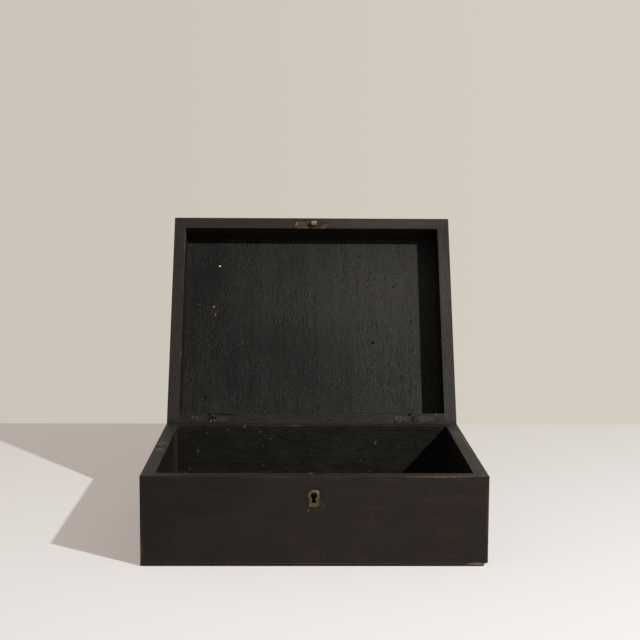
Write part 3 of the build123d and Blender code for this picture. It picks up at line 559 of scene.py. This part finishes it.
class PaintedBoard(Shader):
    """Black brushed paint over a red-brown ground on pine, worn at the arrises and marks."""

    def __init__(self, name, paint):
        super().__init__("paint_" + name)
        self.board = name
        self.paint = paint
        self.shift = PATTERN_STEP * (sorted(frame["nodes"]).index(name) + 1)
        self.exact = self.place(name)
        self.torn = roughened(self, self.exact, PAINT_RAGGEDNESS)
        self.outside = self.outside_share()
        self.fibre, self.sweep, self.streak = map(self.patterned, (FIBRE, SWEEP, STREAK))
        self.cloud, self.blotch, self.grit = map(self.patterned, (CLOUD, BLOTCH, GRIT))
        self.chipping = self.patterned(CHIPPING)
        self.patch = self.rise(self.patterned(PATCH), *PATCHES)

    def outside_share(self):
        """1 on the outer faces of the box and lid, 0 on the inner ones."""
        start, whole = OUTSIDE_SKIN
        x, y, z = self.node("SeparateXYZ", {0: self.exact}).outputs
        return self.most(self.rise(self.math("ABSOLUTE", x), SIDE - start, SIDE - whole),
                         self.rise(self.math("ABSOLUTE", y), -FRONT - start, -FRONT - whole),
                         self.rise(z, LID_TOP - start, LID_TOP - whole))

    def arris_distance(self):
        """Millimetres to the nearest arris of the board, from its own six faces."""
        parts = self.node("SeparateXYZ", {0: self.exact}).outputs
        gaps = [self.least(self.gap(part, low), self.gap(part, high))
                for part, low, high in zip(parts, *shut_box(self.board))]
        return self.math("SUBTRACT", self.total(*gaps), self.most(*gaps))

    def patterned(self, kind):
        return self.pattern(self.exact, self.paint.grain, kind, self.shift)

    def worn(self, kind):
        """Share of the board's marks of a kind, with torn edges."""
        return marked(self, self.torn, self.paint.marks, kind)

    def dots(self, size, share, shift):
        """Dots up to about a size wide, longer with the grain, in a share of all cells."""
        width = DOT_SPACING * size
        place = self.stretched(self.torn, self.paint.grain, DOT_LENGTH * width, width, shift)
        cells = self.node("TexVoronoi", {"Vector": place, "Scale": 1}).outputs
        chosen = self.coordinate(cells["Color"], 0)
        return self.product(self.rise(cells["Distance"], *DOT_FADE),
                            self.rise(chosen, 1 - share, 1.02 - share))

    def sound_paint(self):
        """Colour of whole paint: brushed and clouded, thick in places, dirtier at the rim, with
        painted shade along the front's foot.
        """
        paint = self.paint
        tone = self.total(0.5, self.sway(self.fibre, 1.6 * paint.fibre),
                          self.sway(self.sweep, 1.4 * paint.brush), self.sway(self.cloud, 0.5),
                          self.sway(self.blotch, 1.6 * paint.mottle), self.sway(self.grit, 0.7),
                          self.product(self.worn(THICK_PAINT_AND_SHADE), -0.30))
        light = tuple(channel * share for channel, share in zip(PAINT_LIGHT, paint.tint))
        light = self.blend(self.outside, light, PAINT_OUTSIDE)
        colour = self.blend(self.rise(tone, *TONES), PAINT_DEEP, light)
        rim_gap = self.gap(self.coordinate(self.exact, 2),
                           LID_RIM if on_lid(self.board) else RIM)
        rim = self.product(self.rise(rim_gap, *RIM_SKIN), self.span(self.blotch, 0.2, 1.3))
        line = self.patterned(RIM_LINE)
        rim_tone = self.blend(self.rise(line, *BROWN_LINES), RIM_GREY, RIM_BROWN)
        rim_tone = self.blend(self.rise(line, *DARK_LINES), rim_tone, PAINT_DEEP)
        colour = self.blend(self.product(rim, paint.rim_wear), colour, rim_tone)
        greyed = self.product(self.worn(GREYED), self.span(self.blotch, 0.1, 0.9))
        return self.blend(greyed, colour, PAINT_GREYED)

    def rubbed(self):
        """Share of thinned paint, which shows the ground in streaks along the grain."""
        thin = self.weighed((self.streak, 0.7), (self.fibre, 0.3), (self.worn(RUBBED), 0.24))
        thin = self.total(thin, self.sway(self.cloud, 0.25))
        rubbed = self.product(self.rise(thin, *THIN), GROUND_SHOWN)
        warmth = self.product(self.span(self.outside, self.paint.warmth, 1), WARM_CAST)
        return self.most(rubbed, self.product(self.rise(self.cloud, *WARM_CLOUDS), warmth))

    def arris_wear(self):
        """Shares of ground and of wood at the arrises, in broken stretches."""
        handled = self.rise(self.patterned(HANDLING), *HANDLED)
        width = self.total(self.product(handled, HANDLED_WIDTH), LEAST_WIDTH)
        width = self.product(width, self.paint.edge_wear, self.span(self.outside, 0.4, 1))
        worn = self.math("SUBTRACT", self.product(width, self.span(self.chipping, -0.4, 2.0)),
                         self.arris_distance())
        ground = self.product(self.rise(worn, *GROUND_EDGE), 0.8)
        wood = self.product(self.rise(worn, *WOOD_EDGE), self.rise(self.chipping, *CHIPS))
        return ground, wood

    def bared(self, wood_edge):
        """Share of bare wood: flaked off at the marks' edges and whole within."""
        depth = mark_depth(self, self.torn, self.paint.marks, BARE_AND_HIGHLIGHT)
        flaked = self.most(self.rise(self.chipping, *FLAKES), self.rise(depth, *BARE_WITHIN))
        return self.most(self.product(self.rise(depth, *BARE_EDGE), flaked), wood_edge)

    def finished(self):
        """The whole material."""
        paint = self.paint
        rubbed = self.rubbed()
        ground_edge, wood_edge = self.arris_wear()
        bare = self.bared(wood_edge)
        # Pale grazes; on the lid's left rail, a painted highlight along the inner arris.
        scuffed_and_highlight = self.product(self.worn(SCUFF_AND_HIGHLIGHT), self.rise(self.chipping, *SCUFF_GAPS))
        chalked = marked(self, self.exact, paint.marks, CHALKED)
        # Pits in the paint; on the lid's back rail, painted shade beside the hinge leaves.
        pits_and_shade = self.worn(PIT_AND_HOLLOW_SHADE)
        dark_dots_and_shade = self.product(self.dots(1.1 * paint.coarse, 0.34 * paint.specks, 3),
                                 self.span(self.patch, 0.12, 0.9))
        dark_dots_and_shade = self.most(pits_and_shade, dark_dots_and_shade)
        flecks = self.dots(0.8 * paint.coarse, 0.05 * paint.specks, 7)
        peppered = self.product(self.worn(PEPPERED), self.dots(1.8, 0.6, 11))
        wood = self.blend(self.rise(self.patterned(WOOD_LINE), *WOOD_LINES), WOOD_DARK,
                          WOOD_PALE)

        colour = self.sound_paint()
        for share, over in ((rubbed, GROUND_RED), (ground_edge, GROUND_BROWN), (bare, wood),
                            (self.product(scuffed_and_highlight, 0.7), PALE_SCUFF_AND_HIGHLIGHT),
                            (self.product(flecks, 0.45), PAINT_FLECK),
                            (self.product(peppered, 0.8), GROUND_RED),
                            (chalked, CHALK_COLOUR), (dark_dots_and_shade, PIT_AND_SHADE_COLOUR)):
            colour = self.blend(share, colour, over)

        # Dried drops, trapped grit and wrinkles stand up from the paint.
        drops = self.product(self.dots(1.9 * paint.coarse, 0.7 * paint.pimples, self.shift),
                             self.span(self.patch, 0.12, 1))
        height = self.weighed(
            (self.fibre, 0.16 * paint.fibre + 0.04), (self.blotch, 0.10 * paint.mottle),
            (self.sweep, 0.6 * paint.brush), (self.grit, 0.05), (drops, 0.2 * paint.coarse),
            (self.streak, self.patch, 0.35 * paint.pimples), (bare, -0.12), (scuffed_and_highlight, 0.04),
            (dark_dots_and_shade, -0.25), (pits_and_shade, -0.5), (self.cloud, 0.2))
        roughness = self.weighed((self.cloud, 0.16), (self.fibre, 0.12), (bare, 0.2),
                                 (rubbed, 0.05), (pits_and_shade, 0.5), base=PAINT_ROUGHNESS)
        return self.finish(Base_Color=colour, Roughness=roughness, Normal=self.bump(height),
                           Specular_IOR_Level=PAINT_GLOSS)


# --- Metals ---
# Bright brass, also the colour of the escutcheon's painted highlights.
BRASS_BRIGHT_AND_HIGHLIGHT = (0.62, 0.45, 0.22)
BRASS_OLD = (0.175, 0.130, 0.078)
BRASS_BROWN = (0.115, 0.075, 0.045)
BRASS_DARK = (0.075, 0.056, 0.034)
BRASS_WORN = (0.108, 0.080, 0.051)
GRIME = (0.010, 0.0085, 0.006)
STEEL_BRIGHT = (0.42, 0.41, 0.39)
STEEL_DULL = (0.16, 0.15, 0.14)
RUST = (0.09, 0.035, 0.015)
IRON = (0.035, 0.032, 0.030)

METAL_RAGGEDNESS = 0.35  # how far a mark's edge wanders on metal, in millimetres
# For tarnish, dirt and what is left of paint: the level of a pattern where they start to
# show if their share is 0, how far a share of 1 lowers it, and how soft their edges are.
TARNISH = (0.86, 0.5, 0.20)
DIRT = (1.05, 0.6, 0.09)
LEFT_PAINT = (0.86, 0.75, 0.10)
# Levels between which specks lighten and stain left paint, and bare marks take it off.
LIGHT_SPECKS = (0.3, 0.7)
STAINED_SPECKS = (0.36, 0.56)
PAINT_GOES = (0.2, 0.6)

# A metal's colours where it is bright, dulled and dirty; then shares and sizes of its wear:
# how far it has dulled, its dirt, its roughness, the share that paint still covers, how
# bright its bare marks and painted highlights are, and its marks.
Metal = namedtuple("Metal", "bright dull dirt tarnish dirt_share roughness coated glint marks",
                   defaults=[0.0, 0.5, ()])
OLD_BRASS = Metal(BRASS_OLD, BRASS_DARK, GRIME, 0.5, 0.12, 0.45)
DULL_BRASS = Metal(BRASS_BROWN, BRASS_DARK, GRIME, 0.6, 0.4, 0.5)
BRIGHT_BRASS = Metal(BRASS_BRIGHT_AND_HIGHLIGHT, BRASS_BROWN, GRIME, 0.3, 0.2, 0.34)
PAINTED_BRASS = Metal(BRASS_OLD, BRASS_DARK, GRIME, 0.6, 0.4, 0.5, coated=1.0)
LEAF_BRASS = PAINTED_BRASS._replace(marks=LEAF_MARKS, glint=0.6)
DULL_STEEL = Metal(STEEL_BRIGHT, STEEL_DULL, RUST, 0.4, 0.3, 0.4)
OLD_IRON = Metal(IRON, IRON, RUST, 0.5, 0.4, 0.6, coated=0.55)


def covered(shader, level, share, none, lowering, softness):
    """How far a share of something covers a place at a level of its pattern, 0 to 1."""
    start = none - lowering * share
    return shader.rise(level, start, start + softness)


def aged_metal(name, metal):
    """Metal with tarnish in clouds, dirt in specks, fine scratches and what paint is left."""
    shader = Shader("metal_" + name)
    true_place = shader.place(name)
    place = roughened(shader, true_place, METAL_RAGGEDNESS)
    cloud, speck, lines = (shader.pattern(true_place, "X", kind)
                           for kind in (METAL_CLOUD, METAL_SPECK, SCRATCHES))
    # bright is the share of bare metal, which on the escutcheon is partly painted highlight.
    bright, browned, hidden, pits_and_shade, scuffed_and_highlight = (
        marked(shader, place, metal.marks, kind)
        for kind in (BARE_AND_HIGHLIGHT, BROWNED, COATED, PIT_AND_HOLLOW_SHADE, SCUFF_AND_HIGHLIGHT))

    tarnished = shader.weighed((speck, 0.35), (bright, -0.5), base=cloud)
    tarnished = covered(shader, tarnished, metal.tarnish, *TARNISH)
    dirty = shader.weighed((cloud, 0.5), (bright, -0.3), base=speck)
    dirty = covered(shader, dirty, metal.dirt_share, *DIRT)
    colour = shader.blend(tarnished, metal.bright, metal.dull)
    colour = shader.blend(shader.product(browned, 0.8), colour, BRASS_BROWN)
    colour = shader.blend(shader.product(bright, metal.glint), colour, BRASS_BRIGHT_AND_HIGHLIGHT)
    colour = shader.blend(dirty, colour, metal.dirt)

    left = shader.weighed((cloud, 0.6), (speck, 0.4), (bright, -0.4))
    coat = covered(shader, left, metal.coated, *LEFT_PAINT)
    coat = shader.most(coat, hidden, pits_and_shade)
    coat = shader.product(coat, shader.span(shader.rise(bright, *PAINT_GOES), 1, 0))
    paint = shader.blend(shader.rise(speck, *LIGHT_SPECKS), PAINT_DEEP, PAINT_LIGHT)
    paint = shader.blend(shader.product(shader.span(cloud, 0.0, 1.3), 0.25), paint, RIM_GREY)
    stained = shader.product(browned, shader.rise(speck, *STAINED_SPECKS))
    paint = shader.blend(shader.product(stained, 0.8), paint, PAINT_STAIN)
    paint = shader.blend(shader.product(scuffed_and_highlight, 0.7), paint, PALE_SCUFF_AND_HIGHLIGHT)
    # Painted shade: the leaves' hollow and gaps are coloured near-black.
    paint = shader.blend(pits_and_shade, paint, PIT_AND_SHADE_COLOUR)
    colour = shader.blend(coat, colour, paint)

    rough = shader.weighed((tarnished, 0.16), (lines, 0.12), (dirty, 0.25),
                           base=metal.roughness - 0.06)
    height = shader.weighed((lines, 0.012), (speck, 0.03), (dirty, 0.03), (cloud, 0.05),
                            (coat, 0.06), (pits_and_shade, -0.2))
    shine = shader.least(shader.span(dirty, 1.0, 0.15), shader.span(coat, 1.0, 0.0))
    return shader.finish(Base_Color=colour, Metallic=shine, Roughness=rough,
                         Normal=shader.bump(height), Specular_IOR_Level=PAINT_GLOSS)


# --- Finishes of the pieces ---
BOARDS = {
    "box_front": Paint("X", FRONT_MARKS, fibre=0.32, brush=0.25, mottle=0.25, specks=0.08,
                       rim_wear=0.15, edge_wear=0.3),
    "box_back": Paint("X", BACK_MARKS, (0.70, 0.77, 0.84), fibre=1.2, mottle=1.0, specks=0.5),
    "box_left_end": Paint("Y", LEFT_END_MARKS, (1.0, 0.92, 0.86), specks=1.1, mottle=1.0),
    "box_right_end": Paint("Y", RIGHT_END_MARKS, (1.0, 0.92, 0.86), specks=1.1, mottle=1.0,
                           rim_wear=1.0),
    "box_bottom": Paint("X", BOTTOM_MARKS, (1.0, 0.85, 0.75)),
    "lid_front_rail": Paint("X", LID_FRONT_MARKS, specks=0.8, edge_wear=0.8),
    "lid_back_rail": Paint("X", LID_BACK_MARKS, rim_wear=0.05, mottle=1.0, specks=0.6),
    "lid_left_rail": Paint("Y", LID_LEFT_MARKS, rim_wear=0.8, specks=0.8, edge_wear=0.8),
    "lid_right_rail": Paint("Y", LID_RIGHT_MARKS, specks=0.8, edge_wear=0.8),
    "lid_top_panel": Paint("Y", PANEL_MARKS + TOP_MARKS, (1.0, 1.07, 1.2), fibre=0.6,
                           brush=0.6, mottle=0.8, specks=1.0, pimples=1.0, coarse=1.6,
                           warmth=0.0),
}
METALS = {
    "keyhole_escutcheon": OLD_BRASS._replace(bright=BRASS_WORN, marks=ESCUTCHEON_MARKS,
                                             glint=0.2),
    "link_plate": DULL_BRASS._replace(marks=LINK_MARKS, coated=0.55),
    "link_staple": BRIGHT_BRASS,
    "link_plate_screws": DULL_BRASS,
    "lock_backplate": PAINTED_BRASS._replace(glint=0.8, marks=SELVEDGE_MARKS),
    "lock_cap": DULL_BRASS,
    "lock_screws": DULL_BRASS,
    "lock_bolt": DULL_STEEL,
    "lock_drill_pin": DULL_STEEL._replace(bright=IRON, dull=IRON, roughness=0.6),
    "lock_guide_studs": DULL_STEEL,
    "lock_spring": DULL_STEEL,
    "left_hinge_lid_leaf": LEAF_BRASS,
    "right_hinge_lid_leaf": LEAF_BRASS,
    "left_hinge_box_leaf": PAINTED_BRASS,
    "right_hinge_box_leaf": PAINTED_BRASS,
    "lid_hinge_screws": LEAF_BRASS,
    "box_hinge_screws": PAINTED_BRASS,
    "left_hinge_pin": DULL_STEEL,
    "right_hinge_pin": DULL_STEEL,
    "box_corner_nails": OLD_IRON,
    "box_bottom_nails": OLD_IRON,
    "lid_corner_nails": OLD_IRON,
    "lid_top_nails": OLD_IRON,
}


def set_finish(name, material):
    """Gives a CAD node its material in all its slots."""
    for slot in frame["nodes"][name].material_slots:
        slot.material = material


def finish_pieces():
    for name, paint in BOARDS.items():
        set_finish(name, PaintedBoard(name, paint).finished())
    for name, metal in METALS.items():
        set_finish(name, aged_metal(name, metal))


# --- Boards with eased, slightly uneven arrises ---
ARRIS_WIDTH = 0.6  # easing of the arrises, in millimetres
ARRIS_STEP = 7.0  # about the length of the pieces that an arris is divided into
ARRIS_SEGMENTS = 3
ARRIS_WANDER = 0.22  # how deep handling has worn the eased arrises here and there
WANDER_LENGTH = 11.0
CORNER_ROUNDING = 0.8  # the upright outer corners, as they are built
TOUCHING = 0.02  # points this close are at one place
FLAT = math.radians(0.5)

# Torn right front corner of the bottom board, and the slivers left standing in it.
CHIP_WIDTH = 4.2
CHIP_LENGTH = 26
TEAR_START = 0.3  # from the front to the first sliver
TEAR_END = 1.5  # from the last sliver to the tear's end, at least
FIRST_SLIVER = 2.4  # length of the first, longest one
SLIVER_LENGTHS = (0.3, 2.2)
SLIVER_WIDTHS = (0.7, 1.7)
SLIVER_LEVELS = (1.2, 2.0)  # of a sliver's underside
SLIVER_HEIGHTS = (0.4, 0.9)
SLIVER_SPACING = 0.8  # from one to the next, by the first one's width
SLIVER_ROOT = 0.4  # how deep a sliver starts in the board
SLIVER_MARGIN = 0.1  # from a sliver's tip to the board's side, at least


def bare_shape(name):
    """A node's shape in millimetres in the shut box, with its flat faces whole again."""
    shape = bmesh.new()
    shape.from_mesh(frame["nodes"][name].data)
    shape.transform(to_shut(name))
    bmesh.ops.remove_doubles(shape, verts=shape.verts, dist=TOUCHING / 10)
    bmesh.ops.dissolve_limit(shape, angle_limit=FLAT, verts=shape.verts, edges=shape.edges)
    return shape


def add_object(name, data):
    thing = bpy.data.objects.new(name, data)
    bpy.context.scene.collection.objects.link(thing)
    return thing


def stand_for(name, shape):
    """Puts a shape, made in millimetres in the shut box, in the place of a node."""
    node = frame["nodes"][name]
    shape.transform(to_shut(name).inverted())
    mesh = bpy.data.meshes.new(name + "_finished")
    shape.to_mesh(mesh)
    shape.free()
    mesh.materials.append(node.material_slots[0].material)
    piece = add_object(mesh.name, mesh)
    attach(piece, node["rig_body"])
    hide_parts(name)
    return piece


def outline_gap(point):
    """How far a point lies outside the box's plan, with its rounded corners."""
    across = abs(point.x) - (SIDE - CORNER_ROUNDING)
    along = abs(point.y) - (-FRONT - CORNER_ROUNDING)
    past = math.hypot(max(across, 0), max(along, 0))
    return past + min(max(across, along), 0) - CORNER_ROUNDING


def mouth_gap(point):
    """How far a point lies outside the box's inner plan."""
    return max(abs(point.x) - END_INSIDE, abs(point.y) - BACK_INSIDE)


def rounded(shape, edges, width, segments):
    """Rounds edges over a width, and returns what the bevel made."""
    return bmesh.ops.bevel(shape, geom=edges, offset=width, offset_type="OFFSET",
                           segments=segments, profile=0.5, affect="EDGES", clamp_overlap=True)


def is_arris(edge):
    """Whether an edge runs round the outside at a rim or foot, or round the mouth at a rim."""
    def runs_on(plan_gap, levels):
        return any(all(abs(plan_gap(vertex.co)) < TOUCHING and abs(vertex.co.z - z) < TOUCHING
                       for vertex in edge.verts) for z in levels)

    return (runs_on(outline_gap, (0, FOOT, RIM, LID_RIM, LID_CEILING, LID_TOP))
            or runs_on(mouth_gap, (RIM, LID_RIM)))


def divided(edge):
    """Splits an edge into even pieces of about ARRIS_STEP, and returns them."""
    pieces = [edge]
    start = edge.verts[0]
    for count in range(max(1, round(edge.calc_length() / ARRIS_STEP)), 1, -1):
        piece, start = bmesh.utils.edge_split(edge, start, 1 / count)
        pieces.append(piece)
    return pieces


def torn_fibres(shape):
    """Adds the slivers left standing along the bottom board's torn corner."""
    along = FRONT + TEAR_START
    length = FIRST_SLIVER
    while along < FRONT + CHIP_LENGTH - TEAR_END:
        width = random.uniform(*SLIVER_WIDTHS)
        low = random.uniform(*SLIVER_LEVELS)
        high = low + random.uniform(*SLIVER_HEIGHTS)
        edge = SIDE - CHIP_WIDTH * (1 - (along - FRONT) / CHIP_LENGTH)
        root = [shape.verts.new((edge - SLIVER_ROOT, along + across, height))
                for across, height in ((0, low), (width, low), (width, high), (0, high))]
        reach = min(edge + length, SIDE - SLIVER_MARGIN)
        tip = shape.verts.new((reach, along + random.uniform(0, width), high))
        faces = [shape.faces.new((first, second, tip))
                 for first, second in zip(root, root[1:] + root[:1])]
        bmesh.ops.recalc_face_normals(shape, faces=faces + [shape.faces.new(root)])
        along += SLIVER_SPACING * width
        length = random.uniform(*SLIVER_LENGTHS)


def eased_board(name):
    """A board whose free arrises are eased and a little worn, with its joints left tight."""
    shape = bare_shape(name)
    arrises = [piece for edge in list(shape.edges) if is_arris(edge)
               for piece in divided(edge)]
    eased = rounded(shape, arrises, ARRIS_WIDTH, ARRIS_SEGMENTS)
    round_faces = set(eased["faces"])
    shape.normal_update()
    for vertex in eased["verts"]:
        if vertex.is_valid and all(face in round_faces for face in vertex.link_faces):
            depth = 0.5 + 0.5 * noise.noise(vertex.co / WANDER_LENGTH)
            vertex.co -= vertex.normal * depth * ARRIS_WANDER
    for face in shape.faces:
        face.smooth = max(abs(part) for part in face.normal) < math.cos(FLAT)
    if name == "box_bottom":
        torn_fibres(shape)
    return stand_for(name, shape)


# --- Link staple ---
STAPLE_TIP_ROUNDING = 2.1
STAPLE_TIP_SEGMENTS = 5
STAPLE_EASING = 0.35  # of its other edges
STAPLE_SEGMENTS = 2
SHARP = math.radians(60)


def rounded_staple():
    """The link staple with its tip filed round, to find its way into the lock."""
    shape = bare_shape("link_staple")
    tip = min(vertex.co.z for vertex in shape.verts)

    def at_tip(edge):
        return all(vertex.co.z - tip < TOUCHING for vertex in edge.verts)

    def runs_along(edge):
        return abs(edge.verts[0].co.x - edge.verts[1].co.x) > TOUCHING

    ends = [edge for edge in shape.edges if at_tip(edge) and runs_along(edge)]
    rounded(shape, ends, STAPLE_TIP_ROUNDING, STAPLE_TIP_SEGMENTS)
    sharp = [edge for edge in shape.edges if edge.calc_face_angle(0) > SHARP]
    rounded(shape, sharp, STAPLE_EASING, STAPLE_SEGMENTS)
    return stand_for("link_staple", shape)


# --- Slotted screws ---
SLOT_WIDTH = 0.7
SLOT_DEPTH = 0.45
SLOT_TAPER = 0.03  # how much narrower the slot's floor is on each side
SLOT_LENGTH_SHARE = 0.76  # length of a slot's floor, by the head's width
HEAD_AREA = 8.0  # a screw head's face is larger than this, in square millimetres


def slotted_screws(name, outwards):
    """The screws of a node with a slot cut in each head, each left at its own angle."""
    shape = bare_shape(name)
    heads = [face for face in shape.faces
             if face.normal.dot(outwards) > math.cos(FLAT) and face.calc_area() > HEAD_AREA]
    for head in heads:
        centre = head.calc_center_median()
        turn = Matrix.Rotation(random.uniform(0, math.pi), 3, outwards)
        across = turn @ outwards.orthogonal().normalized()
        parts = [head]
        for side in (-1, 1):
            edges = {edge for face in parts for edge in face.edges}
            corners = {corner for face in parts for corner in face.verts}
            cut = bmesh.ops.bisect_plane(shape, geom=[*parts, *edges, *corners],
                                         plane_co=centre + across * side * SLOT_WIDTH / 2,
                                         plane_no=across)
            parts = [item for item in cut["geom"] if isinstance(item, bmesh.types.BMFace)]
        slot = min(parts, key=lambda face: (face.calc_center_median() - centre).length)
        bmesh.ops.inset_region(shape, faces=[slot], thickness=SLOT_TAPER, depth=-SLOT_DEPTH)
        along = across.cross(outwards)
        for vertex in slot.verts:
            reach = (vertex.co - centre).dot(along)
            vertex.co -= along * reach * (1 - SLOT_LENGTH_SHARE)
    return stand_for(name, shape)


SCREW_FACINGS = {
    "lid_hinge_screws": Vector((0, 0, -1)),
    "box_hinge_screws": Vector((0, 0, 1)),
    "link_plate_screws": Vector((0, 0, -1)),
    "lock_screws": Vector((0, 1, 0)),
}


def shape_pieces():
    random.seed(SEED)
    for name in BOARDS:
        eased_board(name)
    rounded_staple()
    for name, outwards in SCREW_FACINGS.items():
        slotted_screws(name, outwards)


# --- Studio ---
# The floor's colour is darker to the right: painted shade that evens out the key light, which
# falls stronger there.
FLOOR_LEFT = (0.515, 0.554, 0.599)
FLOOR_RIGHT_SHADED = (0.450, 0.486, 0.525)
FLOOR_FADE = 0.32  # metres to each side over which the floor's tone changes
FLOOR_GLOW = (0.320, 0.262, 0.225)
# The wall's glow is lighter to the right: painted light, as the key light would fall stronger
# there.
WALL_LEFT = (0.600, 0.555, 0.490)
WALL_RIGHT_LIT = (0.660, 0.607, 0.537)
WALL_FADE = 0.35  # metres to each side over which the wall's tone changes
WALL_BOUNCE = 0.4  # share of the wall's tone that falls on other surfaces
WALL_Y = 0.565
FLOOR_Z = 0.00002  # a hair above the underside, so that the two planes stay apart
STAGE_REACH = 6.0
KEY_PLACE = Vector((1.344, -1.263, 1.406))
KEY_SIZE = 0.05
KEY_LEVEL = 1.15  # light on a surface that faces the key, where 1 shows white as white
KEY_COLOUR = (1.0, 0.965, 0.91)
FILL_LEVEL = 0.32
FILL_COLOUR = (1.0, 0.97, 0.92)
BACKDROP = (0.62, 0.60, 0.56)  # what is seen past the floor and wall
CAMERA_PLACE = (-0.01684, -1.32174, 0.37302)
CAMERA_PITCH = -6.5895  # degrees, as are the next two
CAMERA_YAW = -1.0005
CAMERA_ROLL = -0.3177
CAMERA_LENS = 72.764  # millimetres, as is the sensor
SENSOR_WIDTH = 36.0


def seen_directly(shader):
    """1 for what the camera, a reflection or glass sees, and 0 for light on other surfaces."""
    path = shader.node("LightPath").outputs
    return shader.most(path["Is Camera Ray"], path["Is Glossy Ray"],
                       path["Is Transmission Ray"])


def side_tone(shader, fade, left, right):
    """Tone that changes from left to right of the middle over a distance to each side."""
    across = shader.coordinate(shader.node("TexCoord").outputs["Object"], 0)
    return shader.blend(shader.rise(across, -fade, fade), left, right)


def floor_material():
    """Matte pale floor whose own glow keeps its shadows light, painted darker to the right to
    even out the key light.
    """
    shader = Shader("studio_floor")
    tone = side_tone(shader, FLOOR_FADE, FLOOR_LEFT, FLOOR_RIGHT_SHADED)
    return shader.finish(Base_Color=tone, Roughness=0.9, Specular_IOR_Level=0.1,
                         Emission_Color=FLOOR_GLOW, Emission_Strength=seen_directly(shader))


def wall_material():
    """Plain glowing wall, lighter to the right as painted light, that vanishes from behind."""
    shader = Shader("studio_wall")
    tone = side_tone(shader, WALL_FADE, WALL_LEFT, WALL_RIGHT_LIT)
    strength = shader.most(seen_directly(shader), WALL_BOUNCE)
    glow = shader.node("Emission", {"Color": tone, "Strength": strength}).outputs[0]
    clear = shader.node("BsdfTransparent").outputs[0]
    back = shader.node("NewGeometry").outputs["Backfacing"]
    return shader.end(shader.node("MixShader", {0: back, 1: glow, 2: clear}).outputs[0])


def stage_plane(name, corners, material):
    """Flat part of the studio, whose front is where its corners run anticlockwise."""
    mesh = bpy.data.meshes.new(name)
    mesh.from_pydata(corners, [], [(0, 1, 2, 3)])
    mesh.materials.append(material)
    plane = add_object(name, mesh)
    return plane


def build_stage():
    reach = STAGE_REACH
    across = (-reach, reach, reach, -reach)
    floor_corners = [*zip(across, (-reach, -reach, reach, reach), (FLOOR_Z,) * 4)]
    wall_corners = [*zip(across, (WALL_Y,) * 4, (0, 0, reach, reach))]
    stage_plane("studio_floor", floor_corners, floor_material())
    wall = stage_plane("studio_wall", wall_corners, wall_material())
    wall.visible_shadow = False


def build_light():
    """Small round lamp aimed at the box, and an even light from all round."""
    lamp = bpy.data.lights.new("key", "AREA")
    lamp.shape = "DISK"
    lamp.size = KEY_SIZE
    lamp.energy = KEY_LEVEL * math.pi ** 2 * KEY_PLACE.length ** 2
    lamp.color = KEY_COLOUR
    key = add_object("key", lamp)
    key.location = KEY_PLACE
    key.rotation_euler = (-KEY_PLACE).to_track_quat("-Z", "Y").to_euler()

    shader = Shader("studio", bpy.data.worlds)
    fill = [channel * FILL_LEVEL for channel in FILL_COLOUR]
    seen = shader.blend(shader.node("LightPath").outputs["Is Camera Ray"], fill, BACKDROP)
    background = shader.node("Background", {"Color": seen}).outputs[0]
    bpy.context.scene.world = shader.end(background, "OutputWorld")


def build_camera():
    data = bpy.data.cameras.new("camera")
    data.lens = CAMERA_LENS
    data.sensor_width = SENSOR_WIDTH
    camera = add_object("camera", data)
    turn = (Matrix.Rotation(math.radians(CAMERA_YAW), 4, "Z")
            @ Matrix.Rotation(math.radians(CAMERA_PITCH), 4, "X")
            @ Matrix.Rotation(math.radians(CAMERA_ROLL), 4, "Y")
            @ Matrix.Rotation(math.radians(90), 4, "X"))
    camera.matrix_world = Matrix.Translation(CAMERA_PLACE) @ turn
    bpy.context.scene.camera = camera


finish_pieces()
shape_pieces()
build_stage()
build_light()
build_camera()
bpy.context.scene.view_settings.view_transform = "Standard"
